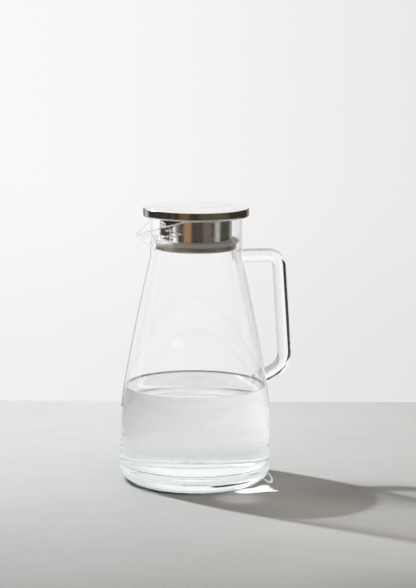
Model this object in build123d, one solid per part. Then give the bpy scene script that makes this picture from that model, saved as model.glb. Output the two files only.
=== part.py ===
from build123d import *

import math
import os

# Glass water jug with a stainless steel strainer lid, in millimetres and +Z up.
# The origin is on the jug's axis, on the surface it stands on.
# The spout points along -X and the handle along +X.

# Glass body
rim_height = 242.0
neck_length = 36.2
neck_radius = 41.4
neck_foot_radius = 7.0
cone_bulge = 1.1
wall_bend_height = 71.0
wall_bend_radius = 270.0
lower_wall_lean = 0.4
base_radius = 68.8
wall = 1.9
rim_round = 0.6
base_corner_radius = 14.4
floor_thickness = 14.0
floor_corner_radius = 13.0
standing_ring_width = 4.0
punt_depth = 1.5

# Pinched spout
spout_reach = 60.0
spout_half_angle = 52.0
spout_hip_depth = 0.8
spout_start_below_rim = 32.5
spout_tip_below_rim = 15.0
spout_tip_lip = 1.8
spout_nose_radius = 4.0
spout_crease_radius = 3.0
spout_slices = 7

# Handle
rod_radius = 6.25
joint_depth = 3.5
handle_top_below_rim = 38.5
handle_top_fall = 1.4
handle_top_reach = 85.3
handle_bottom_reach = 93.4
handle_bottom_height = 99.3
handle_foot_height = 85.6
handle_top_bend = 12.0
handle_bottom_bend = 18.0
top_pad_radius = 7.6
top_pad_length = 8.0
foot_pad_radius = 9.2
foot_pad_length = 11.0

# Lid
lid_radius = 47.65
lid_height = 7.7
lid_clearance = 0.3
sheet = 0.8
lid_edge_round = 1.4
hem_width = 2.6
plate_gap = 0.1
weld_flange_width = 4.0

# Strainer sleeve
sleeve_radius = 32.6
sleeve_length = 29.8
channel_radius = 36.2
channel_height = 3.5
channel_round = 1.6
hole_radius = 0.7
hole_pitch = 3.0
hole_columns = 7
hole_column_angle = 7.5
first_hole_above_seal = 2.8
last_hole_below_lid = 2.8

# Silicone seal
seal_bore_gap = 0.1
seal_channel_gap = 0.2
seal_lip_gap = 0.3
seal_height = 7.7
seal_lip_thickness = 1.3
seal_lip_edge = 0.7
seal_groove_depth = 2.6
seal_groove_width = 0.8
seal_collar_thickness = 1.4

neck_bore_radius = neck_radius - wall
neck_foot_height = rim_height - neck_length
bend_corner_radius = base_radius - lower_wall_lean
spout_start_height = rim_height - spout_start_below_rim
spout_tip_height = rim_height - spout_tip_below_rim
handle_top_height = rim_height - handle_top_below_rim
lid_bottom_height = rim_height + lid_clearance
lid_top_height = lid_bottom_height + lid_height
sleeve_bottom_height = lid_bottom_height - sleeve_length
channel_top_height = sleeve_bottom_height + channel_height
seal_foot_height = sleeve_bottom_height + sheet
seal_top_height = seal_foot_height + seal_height
first_hole_height = seal_top_height + first_hole_above_seal
last_hole_height = lid_bottom_height - last_hole_below_lid
hole_rows = int((last_hole_height - first_hole_height) / hole_pitch) + 1


def corner_near(face, place):
    """The corner of an XZ outline that lies nearest to a named place."""
    x, z = place
    return min(face.vertices(), key=lambda corner: math.hypot(corner.X - x, corner.Z - z))


def rounded(face, corners):
    """An XZ outline with some corners rounded, each given as a place and a radius."""
    for place, radius in corners:
        face = fillet(corner_near(face, place), radius)
    return face


def section(*points):
    """A closed straight-sided outline in the XZ plane."""
    return make_face(Plane.XZ * Polyline(*points, close=True))


def turned(face):
    """A full turn of an XZ outline about the jug's axis."""
    return revolve(face, axis=Axis.Z)


def cone_radius(height):
    """Outer radius of the straight cone between the wall's bend and the neck."""
    share = (height - wall_bend_height) / (neck_foot_height - wall_bend_height)
    return bend_corner_radius + share * (neck_radius - bend_corner_radius)


def jug_outline(inset, top_height, floor_line, floor_edge, corner_radius):
    """Half section of the jug, drawn inwards by a wall thickness."""
    corner = (base_radius - inset, floor_edge[1])
    bend = (bend_corner_radius - inset, wall_bend_height)
    foot = (neck_radius - inset, neck_foot_height)
    side = Polyline(floor_edge, corner, bend) + SagittaArc(foot, bend, cone_bulge)
    top = Polyline(foot, (neck_radius - inset, top_height), (0, top_height), floor_line @ 0)
    face = make_face(Plane.XZ * (side + top + floor_line))
    bends = ((corner, corner_radius), (bend, wall_bend_radius), (foot, neck_foot_radius))
    return rounded(face, bends)


def spout_slice(height, reach, nose_radius, hip_radius):
    """Level cut of the spout: two flanks from the neck that meet in a round nose."""
    angle = math.radians(spout_half_angle)
    hip = Vector(hip_radius * math.cos(angle), hip_radius * math.sin(angle))
    centre = Vector(reach - nose_radius, 0)
    to_hip = hip - centre
    turn = math.atan2(to_hip.Y, to_hip.X) - math.acos(nose_radius / to_hip.length)
    touch = centre + Vector(math.cos(turn), math.sin(turn)) * nose_radius
    far_hip, far_touch = Vector(hip.X, -hip.Y), Vector(touch.X, -touch.Y)
    flanks = Line(hip, touch) + Line(far_touch, far_hip) + Line(far_hip, hip)
    return Pos(0, 0, height) * make_face(flanks + ThreePointArc(touch, (reach, 0), far_touch))


def spout_block(inset):
    """The spout as a solid wedge, with its keel drawn inwards by a wall thickness."""
    keel = Bezier(
        (neck_radius - 1.4, spout_start_height),
        (neck_radius - 0.5, spout_start_height + 6.3),
        (spout_reach - 9.5, spout_tip_height - 8.0),
        (spout_reach, spout_tip_height),
    )
    slices = []
    for step in range(spout_slices):
        share = step / (spout_slices - 1)
        place, way = keel @ share, keel % share
        reach, height = place.X - inset * way.Y, place.Y + inset * way.X
        hip_radius = neck_radius - inset - spout_hip_depth
        slices.append(spout_slice(height, reach, spout_nose_radius - inset, hip_radius))
    above = extrude(slices[-1], rim_height + 1 - height)
    return Rot(0, 0, 180) * (loft(slices) + above)


def with_spout(body, inset):
    """A turned body with the spout drawn out of its neck by a soft crease."""
    joined = body + spout_block(inset)
    creases = []
    for edge in joined.edges().filter_by(GeomType.BSPLINE):
        middle = edge @ 0.5
        on_neck = abs(math.hypot(middle.X, middle.Y) - neck_radius + inset) < 0.1
        if on_neck and spout_start_height < middle.Z < spout_tip_height + wall:
            creases.append(edge)
    return fillet(creases, spout_crease_radius)


def above_rim():
    """What is cut away above the rim, level round the neck and sloping down to the spout."""
    hip = neck_radius * math.cos(math.radians(spout_half_angle))
    lowest = spout_tip_height + spout_tip_lip
    end = spout_reach + wall
    fall = (rim_height - lowest) / (spout_reach - hip)
    high = rim_height + 2 * wall
    cut = section(
        (spout_reach, rim_height),
        (-hip, rim_height),
        (-end, rim_height - fall * (end - hip)),
        (-end, high),
        (spout_reach, high),
    )
    return extrude(cut, base_radius, both=True)


def jug_outside():
    """The jug as a solid block of glass with its punt, cone, neck and spout."""
    ring = base_radius - base_corner_radius
    dish_edge = ring - standing_ring_width
    dish_radius = (dish_edge**2 + punt_depth**2) / (2 * punt_depth)
    dish = RadiusArc((0, punt_depth), (dish_edge, 0), dish_radius)
    floor_line = dish + Line((dish_edge, 0), (ring, 0))
    outline = jug_outline(0, rim_height, floor_line, (ring, 0), base_corner_radius)
    return with_spout(turned(outline), 0) - above_rim()


def jug_inside():
    """The space that the jug holds, from its thick floor to above its rim."""
    edge = (neck_radius, floor_thickness)
    floor_line = Line((0, floor_thickness), edge)
    outline = jug_outline(wall, rim_height + 1, floor_line, edge, floor_corner_radius)
    return with_spout(turned(outline), wall)


def rim_edges(body):
    """Inner and outer edges of the open rim, without the two lines where it bends."""
    tops = [
        face
        for face in body.faces().filter_by(GeomType.PLANE)
        if face.center().Z > spout_tip_height and face.normal_at().Z > 0.5
    ]
    edges = [edge for face in tops for edge in face.edges()]
    return [edge for edge in edges if edge.geom_type != GeomType.LINE or abs((edge % 0).Y) < 0.99]


def glass_body(outside):
    """Blown body with its thick base, fire-rounded rim and pinched spout."""
    body = outside - jug_inside()
    return fillet(rim_edges(body), rim_round)


def rod_pad(place, way, pad_radius, length):
    """One end of the hot rod, spread where it is pressed on the wall."""
    half = make_face(
        Line((0, 0), (pad_radius, 0))
        + Spline((pad_radius, 0), (rod_radius, length), tangents=[(-0.2, 1), (0, 1)])
        + Line((rod_radius, length), (0, length))
        + Line((0, length), (0, 0))
    )
    return Plane(origin=place, z_dir=way) * revolve(Plane.XZ * half, axis=Axis.Z)


def handle(outside):
    """Bent glass rod with two spread ends, cut to the wall that it is fused to."""
    path = Plane.XZ * FilletPolyline(
        (neck_radius - joint_depth, handle_top_height),
        (handle_top_reach, handle_top_height - handle_top_fall),
        (handle_bottom_reach, handle_bottom_height),
        (cone_radius(handle_foot_height) - joint_depth, handle_foot_height),
        radius=[handle_top_bend, handle_bottom_bend],
    )
    rod = sweep(Plane(origin=path @ 0, z_dir=path % 0) * Circle(rod_radius), path=path)
    top_pad = rod_pad(path @ 0, path % 0, top_pad_radius, top_pad_length)
    foot_pad = rod_pad(path @ 1, -(path % 1), foot_pad_radius, foot_pad_length)
    return rod + top_pad + foot_pad - outside


def lid_cap():
    """Stamped disc with a turned-down rim, hemmed inwards under the base plate."""
    inner, hem = lid_radius - sheet, lid_radius - hem_width
    low, high = lid_bottom_height, lid_top_height
    face = section(
        (0, high),
        (lid_radius, high),
        (lid_radius, low),
        (hem, low),
        (hem, low + sheet),
        (inner, low + sheet),
        (inner, high - sheet),
        (0, high - sheet),
    )
    inner_round = lid_edge_round - sheet
    corners = (
        ((lid_radius, high), lid_edge_round),
        ((lid_radius, low), lid_edge_round),
        ((inner, low + sheet), inner_round),
        ((inner, high - sheet), inner_round),
    )
    return turned(rounded(face, corners))


def lid_base_plate():
    """Plate that closes the cap's underside, stepped so that its rim lies on the hem."""
    low = lid_bottom_height
    edge = lid_radius - sheet - (lid_edge_round - sheet)
    step = lid_radius - hem_width - plate_gap - sheet
    return turned(
        section(
            (0, low),
            (step, low),
            (step + sheet, low + sheet),
            (edge, low + sheet),
            (edge, low + 2 * sheet),
            (step + 0.6 * sheet, low + 2 * sheet),
            (step - 0.4 * sheet, low + sheet),
            (0, low + sheet),
        )
    )


def strainer_holes():
    """Round holes in a rectangular grid on the side of the sleeve that faces the spout."""
    drill = Rot(0, 90, 0) * Cylinder(hole_radius, 4 * sheet)
    holes = []
    for column in range(hole_columns):
        turn = 180 + (column - (hole_columns - 1) / 2) * hole_column_angle
        for row in range(hole_rows):
            height = first_hole_height + row * hole_pitch
            holes.append(Rot(0, 0, turn) * Pos(sleeve_radius - sheet / 2, 0, height) * drill)
    return holes


def strainer_sleeve():
    """Perforated tube with a welding flange on top and a rolled channel for the seal."""
    inner, top, low = sleeve_radius - sheet, lid_bottom_height, sleeve_bottom_height
    face = section(
        (inner - weld_flange_width, top),
        (sleeve_radius, top),
        (sleeve_radius, low + sheet),
        (channel_radius - sheet, low + sheet),
        (channel_radius - sheet, channel_top_height),
        (channel_radius, channel_top_height),
        (channel_radius, low),
        (inner, low),
        (inner, top - sheet),
        (inner - weld_flange_width, top - sheet),
    )
    corners = (
        ((channel_radius, low), channel_round),
        ((channel_radius - sheet, low + sheet), channel_round - sheet),
        ((channel_radius, channel_top_height), 0.4 * sheet),
        ((channel_radius - sheet, channel_top_height), 0.4 * sheet),
        ((inner, low), 0.8 * sheet),
    )
    return turned(rounded(face, corners)) - strainer_holes()


def seal_ring():
    """Silicone ring: a foot in the channel, a collar on the sleeve and a flared lip."""
    bore = sleeve_radius + seal_bore_gap
    foot = channel_radius - sheet - seal_channel_gap
    foot_low = seal_foot_height + seal_channel_gap
    shoulder = channel_top_height + seal_channel_gap
    lip = neck_bore_radius - seal_lip_gap
    collar = bore + seal_collar_thickness
    groove_low = seal_top_height - seal_groove_depth
    face = section(
        (bore, foot_low),
        (foot, foot_low),
        (foot, shoulder),
        (channel_radius, shoulder),
        (lip, seal_top_height - seal_lip_edge),
        (lip, seal_top_height),
        (lip - seal_lip_thickness, seal_top_height),
        (collar + seal_groove_width, groove_low),
        (collar, groove_low),
        (collar, seal_top_height),
        (bore, seal_top_height),
    )
    foot_corner = ((foot, foot_low), channel_round - sheet)
    return turned(rounded(face, [foot_corner]))


def nodes():
    """Every piece of the jug under its own name."""
    outside = jug_outside()
    return {
        "glass_body": glass_body(outside),
        "handle": handle(outside),
        "lid_cap": lid_cap(),
        "lid_base_plate": lid_base_plate(),
        "strainer_sleeve": strainer_sleeve(),
        "seal_ring": seal_ring(),
    }


if __name__ == "__main__":
    os.makedirs("parts", exist_ok=True)
    for name, piece in nodes().items():
        export_step(piece, f"parts/{name}.step")
        print(name, f"{piece.volume / 1000:.1f} ml")
    print(f"filled to the rim: {jug_inside().volume / 1e6:.2f} litres")
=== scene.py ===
"""Glass water jug with a strainer lid, half full, on a pale table in soft side light."""

import logging
import math
from dataclasses import dataclass, field
from enum import Enum
from typing import Callable, Optional, Sequence

import bmesh
import bpy
import numpy as np
from mathutils import Matrix, Vector


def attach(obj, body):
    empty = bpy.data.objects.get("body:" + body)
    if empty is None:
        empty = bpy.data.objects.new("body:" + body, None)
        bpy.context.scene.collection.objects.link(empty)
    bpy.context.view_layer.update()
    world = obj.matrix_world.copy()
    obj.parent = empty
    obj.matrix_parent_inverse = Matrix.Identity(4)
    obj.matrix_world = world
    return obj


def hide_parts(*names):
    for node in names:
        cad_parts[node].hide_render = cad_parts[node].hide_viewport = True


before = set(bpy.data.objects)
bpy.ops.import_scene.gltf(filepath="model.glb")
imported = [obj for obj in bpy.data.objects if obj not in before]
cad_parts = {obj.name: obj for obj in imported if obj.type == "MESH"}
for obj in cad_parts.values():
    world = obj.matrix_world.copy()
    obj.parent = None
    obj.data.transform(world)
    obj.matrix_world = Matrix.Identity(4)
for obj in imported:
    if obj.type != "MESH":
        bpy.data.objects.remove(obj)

LOG = logging.getLogger("jug")
MM = 0.001

# Points closer together than this, in metres, become one.
SAME_PLACE = 2e-6

# The lamp's centre, in metres to the right, away and up from the jug's foot.
LAMP_PLACE = (-0.788, 0.616, 0.854)

Colour = tuple[float, float, float]
Corner = tuple[float, float, float]


class Grain(Enum):
    """How the polishing lines lie on a steel piece."""

    RINGS_ON_DISC = "rings"
    ROUND_THE_TUBE = "round"


class Body(Enum):
    """The rigid bodies that the pieces ride on."""

    JUG = "jug"
    SEAL = "seal"
    LID = "lid"


class Slot(Enum):
    """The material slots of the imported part."""

    GLASS = "clear_glass"
    STEEL = "stainless_steel"
    SILICONE = "silicone"


# Outlines


def arc(centre: Sequence[float], radius: float, first: float, last: float, steps: int) -> np.ndarray:
    """Points along a circular arc.

    Args:
        centre: Centre of the arc in its plane.
        radius: Radius of the arc.
        first: Angle of the first point, in radians.
        last: Angle of the last point, in radians.
        steps: Number of straight steps.

    Returns:
        An array of steps + 1 points.
    """
    turn = np.linspace(first, last, steps + 1)
    return np.stack([centre[0] + radius * np.cos(turn), centre[1] + radius * np.sin(turn)], 1)


def rounded_outline(corners: Sequence[Corner], closed: bool, guard: float = 0.6) -> np.ndarray:
    """An outline with rounded corners, and with a wear value at each point.

    Args:
        corners: Corners as radius from the axis, height and rounding.
        closed: Whether the last corner joins the first.
        guard: How far wear reaches from a corner along its straight sides.

    Returns:
        Rows of radius, height and wear, where wear is 1 on corners and 0 on flats.
    """
    rows: list[tuple[float, float, float]] = []
    count = len(corners)
    for index, (x, z, rounding) in enumerate(corners):
        here = np.array([x, z])
        before, after = corners[index - 1][:2], corners[(index + 1) % count][:2]
        if not closed and index in (0, count - 1):
            rows.append((x, z, 0.0))
            continue
        to_before, to_after = np.array(before) - here, np.array(after) - here
        reach_before, reach_after = np.linalg.norm(to_before), np.linalg.norm(to_after)
        to_before, to_after = to_before / reach_before, to_after / reach_after
        half = math.acos(float(np.clip(to_before @ to_after, -1, 1))) / 2
        back = rounding / math.tan(half) if rounding else 0.0
        if reach_before > 2 * (back + guard):
            rows.append((*(here + to_before * (back + guard)), 0.0))
        if rounding:
            middle = to_before + to_after
            centre = here + middle / np.linalg.norm(middle) * rounding / math.sin(half)
            start, end = here + to_before * back - centre, here + to_after * back - centre
            first, last = math.atan2(start[1], start[0]), math.atan2(end[1], end[0])
            last = first + (last - first + math.pi) % (2 * math.pi) - math.pi
            for point in arc(centre, rounding, first, last, 6):
                rows.append((*point, 1.0))
        else:
            rows.append((x, z, 1.0))
        if reach_after > 2 * (back + guard):
            rows.append((*(here + to_after * (back + guard)), 0.0))
    return np.array(rows)


def turns(count: int, start: float = 0.0) -> np.ndarray:
    """Evenly spaced angles of a full turn, in radians."""
    return start + np.arange(count) * (2 * math.pi / count)


def turned(outline: np.ndarray, angles: np.ndarray) -> np.ndarray:
    """Rings of points made by turning an outline about the jug's axis.

    Args:
        outline: Rows that begin with radius and height.
        angles: The angles of each ring's points.

    Returns:
        An array of rings, points and coordinates.
    """
    radius, height = outline[:, 0, None], outline[:, 1, None]
    return np.stack(
        [radius * np.cos(angles), radius * np.sin(angles), height + 0 * angles],
        2,
    )


# Meshes


class MeshMaker:
    """Gathers rings of points into one mesh."""

    def __init__(self) -> None:
        """Starts with no points and no faces."""
        self.points: list[np.ndarray] = []
        self.wear: list[np.ndarray] = []
        self.faces: list[tuple[int, ...]] = []
        self.finishes: list[int] = []
        self.total = 0

    def add_points(self, points: np.ndarray, wear: Optional[np.ndarray] = None) -> np.ndarray:
        """Adds points in millimetres.

        Args:
            points: Points, three numbers each, in any arrangement.
            wear: A wear value for each point, or None for no wear.

        Returns:
            The numbers of the new points, arranged as the points are.
        """
        flat = points.reshape(-1, 3)
        self.points.append(flat)
        self.wear.append(np.zeros(len(flat)) if wear is None else np.asarray(wear, float).ravel())
        numbers = np.arange(self.total, self.total + len(flat)).reshape(points.shape[:-1])
        self.total += len(flat)
        return numbers

    def add_face(self, corners: Sequence[int], finish: int = 0) -> None:
        """Adds one face with its finish."""
        self.faces.append(tuple(int(corner) for corner in corners))
        self.finishes.append(finish)

    def bridge(
        self,
        numbers: np.ndarray,
        closed: bool,
        finish_of_row: Callable[[int], int] = lambda row: 0,
        left_out: frozenset[tuple[int, int]] = frozenset(),
    ) -> None:
        """Joins rings of points by four-sided faces.

        Args:
            numbers: Point numbers, one row for each ring.
            closed: Whether the last ring joins the first.
            finish_of_row: The finish of the faces that follow a ring.
            left_out: Row and column of faces that stay open.
        """
        rows, columns = numbers.shape
        for row in range(rows if closed else rows - 1):
            after = (row + 1) % rows
            finish = finish_of_row(row)
            for column in range(columns):
                if (row, column) in left_out:
                    continue
                beside = (column + 1) % columns
                self.add_face(
                    (
                        numbers[row, column],
                        numbers[row, beside],
                        numbers[after, beside],
                        numbers[after, column],
                    ),
                    finish,
                )

    def build(
        self,
        name: str,
        materials: Sequence[bpy.types.Material],
        sharp: float = 35.0,
    ) -> bpy.types.Object:
        """Makes the object with smooth faces and crisp edges.

        Args:
            name: Name of the object.
            materials: Finishes, in the order of the faces' finish numbers.
            sharp: Edges that turn by more degrees than this stay crisp.

        Returns:
            The new object, linked to the scene.
        """
        mesh = bpy.data.meshes.new(name)
        points = np.concatenate(self.points) * MM
        mesh.from_pydata(points.tolist(), [], self.faces)
        mesh.polygons.foreach_set("material_index", self.finishes)
        wear = mesh.attributes.new("wear", "FLOAT", "POINT")
        wear.data.foreach_set("value", np.concatenate(self.wear).astype(np.float32))
        shape = bmesh.new()
        shape.from_mesh(mesh)
        bmesh.ops.remove_doubles(shape, verts=shape.verts, dist=SAME_PLACE)
        bmesh.ops.recalc_face_normals(shape, faces=shape.faces)
        shape.to_mesh(mesh)
        shape.free()
        for material in materials:
            mesh.materials.append(material)
        mesh.polygons.foreach_set("use_smooth", [True] * len(mesh.polygons))
        mesh.set_sharp_from_angle(angle=math.radians(sharp))
        mesh.update()
        piece = bpy.data.objects.new(name, mesh)
        bpy.context.scene.collection.objects.link(piece)
        return piece


def place(piece: bpy.types.Object, body: Body, slot: Optional[Slot], nodes: Sequence[str]) -> None:
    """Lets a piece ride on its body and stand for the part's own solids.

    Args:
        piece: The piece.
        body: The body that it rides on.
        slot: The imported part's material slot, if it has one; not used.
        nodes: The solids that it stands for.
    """
    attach(piece, body.value)
    if nodes:
        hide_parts(*nodes)
    LOG.info("%s: %d faces, rides on %s", piece.name, len(piece.data.polygons), body.value)


# Node trees


class Graph:
    """Short calls for the nodes of one tree."""

    def __init__(self, tree: bpy.types.NodeTree) -> None:
        """Works on the given tree."""
        self.tree = tree

    def add(self, kind: str, **settings: object) -> bpy.types.Node:
        """Adds a node and sets its own options.

        Args:
            kind: Type name of the node.
            **settings: Options of the node.

        Returns:
            The new node.
        """
        node = self.tree.nodes.new(kind)
        for name, value in settings.items():
            setattr(node, name, value)
        return node

    def feed(self, socket: bpy.types.NodeSocket, source: object) -> None:
        """Links a socket to another one, or sets its constant.

        Args:
            socket: The socket that is fed.
            source: Another socket, or a constant.
        """
        if isinstance(source, bpy.types.NodeSocket):
            self.tree.links.new(source, socket)
        else:
            socket.default_value = source

    def math(self, operation: str, *sources: object, clamp: bool = False) -> bpy.types.NodeSocket:
        """A calculation on numbers.

        Args:
            operation: Name of the calculation.
            *sources: Sockets or constants, in order.
            clamp: Whether the result stays between 0 and 1.

        Returns:
            The result's socket.
        """
        node = self.add("ShaderNodeMath", operation=operation, use_clamp=clamp)
        for socket, source in zip(node.inputs, sources):
            self.feed(socket, source)
        return node.outputs[0]

    def remap(
        self,
        value: object,
        low: float,
        high: float,
        to_low: object,
        to_high: object,
    ) -> bpy.types.NodeSocket:
        """Maps a value smoothly from one range to another, held at its ends.

        Args:
            value: Socket or constant.
            low: Start of the range.
            high: End of the range.
            to_low: Result at the start and before it.
            to_high: Result at the end and past it.

        Returns:
            The result's socket.
        """
        node = self.add("ShaderNodeMapRange", interpolation_type="SMOOTHSTEP")
        for socket, source in zip(node.inputs[:5], (value, low, high, to_low, to_high)):
            self.feed(socket, source)
        return node.outputs[0]

    def noise(
        self,
        vector: object,
        scale: object,
        detail: float,
        roughness: float = 0.5,
    ) -> bpy.types.NodeSocket:
        """Cloudy noise around a half, as one number.

        Args:
            vector: Place that is looked up.
            scale: Clouds per unit of length.
            detail: Number of finer layers.
            roughness: Strength of the finer layers.

        Returns:
            The noise's socket.
        """
        node = self.add("ShaderNodeTexNoise")
        self.feed(node.inputs["Vector"], vector)
        self.feed(node.inputs["Scale"], scale)
        self.feed(node.inputs["Detail"], detail)
        self.feed(node.inputs["Roughness"], roughness)
        return node.outputs["Fac"]

    def blend(self, share: object, first: object, second: object, kind: str = "MIX") -> bpy.types.NodeSocket:
        """Mixes two colours.

        Args:
            share: How much of the second colour shows.
            first: First colour.
            second: Second colour.
            kind: How the colours are mixed.

        Returns:
            The mixed colour's socket.
        """
        node = self.add("ShaderNodeMix", data_type="RGBA", blend_type=kind)
        self.feed(node.inputs[0], share)
        self.feed(node.inputs[6], first if isinstance(first, bpy.types.NodeSocket) else (*first, 1.0))
        self.feed(node.inputs[7], second if isinstance(second, bpy.types.NodeSocket) else (*second, 1.0))
        return node.outputs[2]

    def ramp(self, value: object, stops: Sequence[tuple[float, Colour]]) -> bpy.types.NodeSocket:
        """A colour that follows a value through several stops.

        Args:
            value: Socket or constant from 0 to 1.
            stops: Places from 0 to 1 and their colours.

        Returns:
            The colour's socket.
        """
        node = self.add("ShaderNodeValToRGB")
        stop_list = node.color_ramp.elements
        while len(stop_list) < len(stops):
            stop_list.new(0.5)
        for element, (position, colour) in zip(stop_list, sorted(stops)):
            element.position = position
            element.color = (*colour, 1.0)
        self.feed(node.inputs[0], value)
        return node.outputs[0]

    def combine(self, x: object, y: object, z: object) -> bpy.types.NodeSocket:
        """Three numbers as one vector.

        Args:
            x: First number, as a socket or constant.
            y: Second number.
            z: Third number.

        Returns:
            The vector's socket.
        """
        node = self.add("ShaderNodeCombineXYZ")
        for socket, source in zip(node.inputs, (x, y, z)):
            self.feed(socket, source)
        return node.outputs[0]


def new_group(
    name: str,
    inputs: Sequence[tuple[str, float]],
    outputs: Sequence[tuple[str, str]],
) -> bpy.types.NodeTree:
    """A shader node group with named sockets.

    Args:
        name: Name of the group.
        inputs: Names and default values of its number inputs.
        outputs: Names and socket types of its outputs.

    Returns:
        The group's tree, with no nodes yet.
    """
    group = bpy.data.node_groups.new(name, "ShaderNodeTree")
    for label, value in inputs:
        socket = group.interface.new_socket(label, in_out="INPUT", socket_type="NodeSocketFloat")
        socket.default_value = value
    for label, kind in outputs:
        group.interface.new_socket(label, in_out="OUTPUT", socket_type=kind)
    return group


class SharedEffects:
    """Surface effects that more than one finish uses, each a node group built once."""

    def __init__(self) -> None:
        """Builds the groups."""
        self.handling = self.build_handling()
        self.lathe_lines = self.build_lathe_lines()
        self.edge_wear = self.build_edge_wear()

    def build_handling(self) -> bpy.types.NodeTree:
        """Smudges, wipe marks and fine dust that break up a surface's gloss.

        Returns:
            The group's tree.
        """
        inputs = (
            ("Patch Size", 30.0),
            ("Dust Size", 2600.0),
            ("Low", 0.0),
            ("High", 0.1),
            ("Dust", 0.2),
        )
        outputs = [(label, "NodeSocketFloat") for label in ("Roughness", "Mask", "Height")]
        tree = new_group("HandlingMarks", inputs, outputs)
        graph = Graph(tree)
        given = graph.add("NodeGroupInput").outputs
        spot = graph.add("ShaderNodeTexCoord").outputs["Object"]
        patches = graph.noise(spot, given["Patch Size"], 3.0, 0.6)
        stretched = graph.add("ShaderNodeMapping")
        graph.feed(stretched.inputs["Vector"], spot)
        stretched.inputs["Rotation"].default_value = (0.4, 0.2, 0.9)
        stretched.inputs["Scale"].default_value = (1.0, 5.0, 1.0)
        wipes = graph.noise(stretched.outputs[0], graph.math("MULTIPLY", given["Patch Size"], 2.2), 2.0)
        mask = graph.remap(graph.math("MULTIPLY", patches, wipes), 0.2, 0.36, 0.0, 1.0)
        specks = graph.add("ShaderNodeTexVoronoi", feature="F1")
        graph.feed(specks.inputs["Vector"], spot)
        graph.feed(specks.inputs["Scale"], given["Dust Size"])
        dust = graph.remap(specks.outputs["Distance"], 0.0, 0.22, 1.0, 0.0)
        dust = graph.math("MULTIPLY", graph.math("MULTIPLY", dust, mask), given["Dust"])
        spread = graph.math("SUBTRACT", given["High"], given["Low"])
        marks = graph.math("MULTIPLY_ADD", mask, spread, given["Low"])
        result = graph.add("NodeGroupOutput").inputs
        graph.feed(result["Roughness"], graph.math("MULTIPLY_ADD", dust, 0.3, marks, clamp=True))
        graph.feed(result["Mask"], mask)
        graph.feed(result["Height"], dust)
        return tree

    def build_lathe_lines(self) -> bpy.types.NodeTree:
        """Fine polishing lines that run round the jug's axis, on a disc or on a tube.

        Returns:
            The group's tree.
        """
        inputs = (("On Disc", 1.0), ("Lines", 2600.0), ("Length", 14.0), ("Contrast", 0.1))
        outputs = [(label, "NodeSocketFloat") for label in ("Shade", "Roughness", "Height")]
        tree = new_group("LatheLines", inputs, outputs)
        graph = Graph(tree)
        given = graph.add("NodeGroupInput").outputs
        spot = graph.add("ShaderNodeTexCoord").outputs["Object"]
        parts = graph.add("ShaderNodeSeparateXYZ")
        graph.feed(parts.inputs[0], spot)
        x, y, z = parts.outputs
        squares = graph.math("MULTIPLY_ADD", x, x, graph.math("MULTIPLY", y, y))
        across = graph.math("MULTIPLY", graph.math("SQRT", squares), given["On Disc"])
        across = graph.math("ADD", across, z)
        unit = graph.add("ShaderNodeVectorMath", operation="NORMALIZE")
        graph.feed(unit.inputs[0], graph.combine(x, y, 0.0))
        turn = graph.add("ShaderNodeSeparateXYZ")
        graph.feed(turn.inputs[0], unit.outputs[0])
        place_on_line = graph.combine(
            graph.math("MULTIPLY", turn.outputs[0], given["Length"]),
            graph.math("MULTIPLY", turn.outputs[1], given["Length"]),
            graph.math("MULTIPLY", across, given["Lines"]),
        )
        fine = graph.noise(place_on_line, 1.0, 3.0, 0.65)
        broad = graph.noise(place_on_line, 0.16, 2.0, 0.5)
        both = graph.math("ADD", graph.math("MULTIPLY", fine, 0.65), graph.math("MULTIPLY", broad, 0.35))
        swing = graph.math("MULTIPLY", graph.math("SUBTRACT", both, 0.5), given["Contrast"])
        result = graph.add("NodeGroupOutput").inputs
        graph.feed(result["Shade"], graph.math("ADD", swing, 1.0))
        graph.feed(result["Roughness"], graph.math("MULTIPLY", swing, 0.6))
        graph.feed(result["Height"], both)
        return tree

    def build_edge_wear(self) -> bpy.types.NodeTree:
        """Rubbed edges, read from the meshes' wear values and broken up by noise.

        Returns:
            The group's tree.
        """
        tree = new_group("EdgeWear", (("Amount", 0.5), ("Grit", 900.0)), (("Mask", "NodeSocketFloat"),))
        graph = Graph(tree)
        given = graph.add("NodeGroupInput").outputs
        spot = graph.add("ShaderNodeTexCoord").outputs["Object"]
        wear = graph.add("ShaderNodeAttribute", attribute_name="wear").outputs["Fac"]
        grit = graph.noise(spot, given["Grit"], 2.0)
        broken = graph.math("MULTIPLY", wear, graph.remap(grit, 0.35, 0.65, 0.35, 1.0))
        result = graph.add("NodeGroupOutput").inputs
        graph.feed(result["Mask"], graph.math("MULTIPLY", broken, given["Amount"], clamp=True))
        return tree


def new_material(name: str) -> tuple[bpy.types.Material, Graph, bpy.types.Node, bpy.types.Node]:
    """A material with one Principled shader.

    Args:
        name: Name of the material.

    Returns:
        The material, its graph, its shader and its output node.
    """
    material = bpy.data.materials.new(name)
    material.use_nodes = True
    nodes = material.node_tree.nodes
    return material, Graph(material.node_tree), nodes["Principled BSDF"], nodes["Material Output"]


def use_group(graph: Graph, group: bpy.types.NodeTree, **values: float) -> bpy.types.Node:
    """Places a node group with its own values.

    Args:
        graph: The graph that it goes into.
        group: The group.
        **values: Input values, with underscores for the spaces in names.

    Returns:
        The group's node.
    """
    node = graph.add("ShaderNodeGroup", node_tree=group)
    for label, value in values.items():
        node.inputs[label.replace("_", " ")].default_value = value
    return node


def bump(graph: Graph, shader: bpy.types.Node, height: bpy.types.NodeSocket, depth: float) -> None:
    """Feeds a shader's normal with small relief.

    Args:
        graph: The material's graph.
        shader: The shader.
        height: Relief from 0 to 1.
        depth: How deep the relief is, in metres.
    """
    node = graph.add("ShaderNodeBump")
    node.inputs["Strength"].default_value = 1.0
    node.inputs["Distance"].default_value = depth
    graph.feed(node.inputs["Height"], height)
    graph.feed(shader.inputs["Normal"], node.outputs[0])


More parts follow.
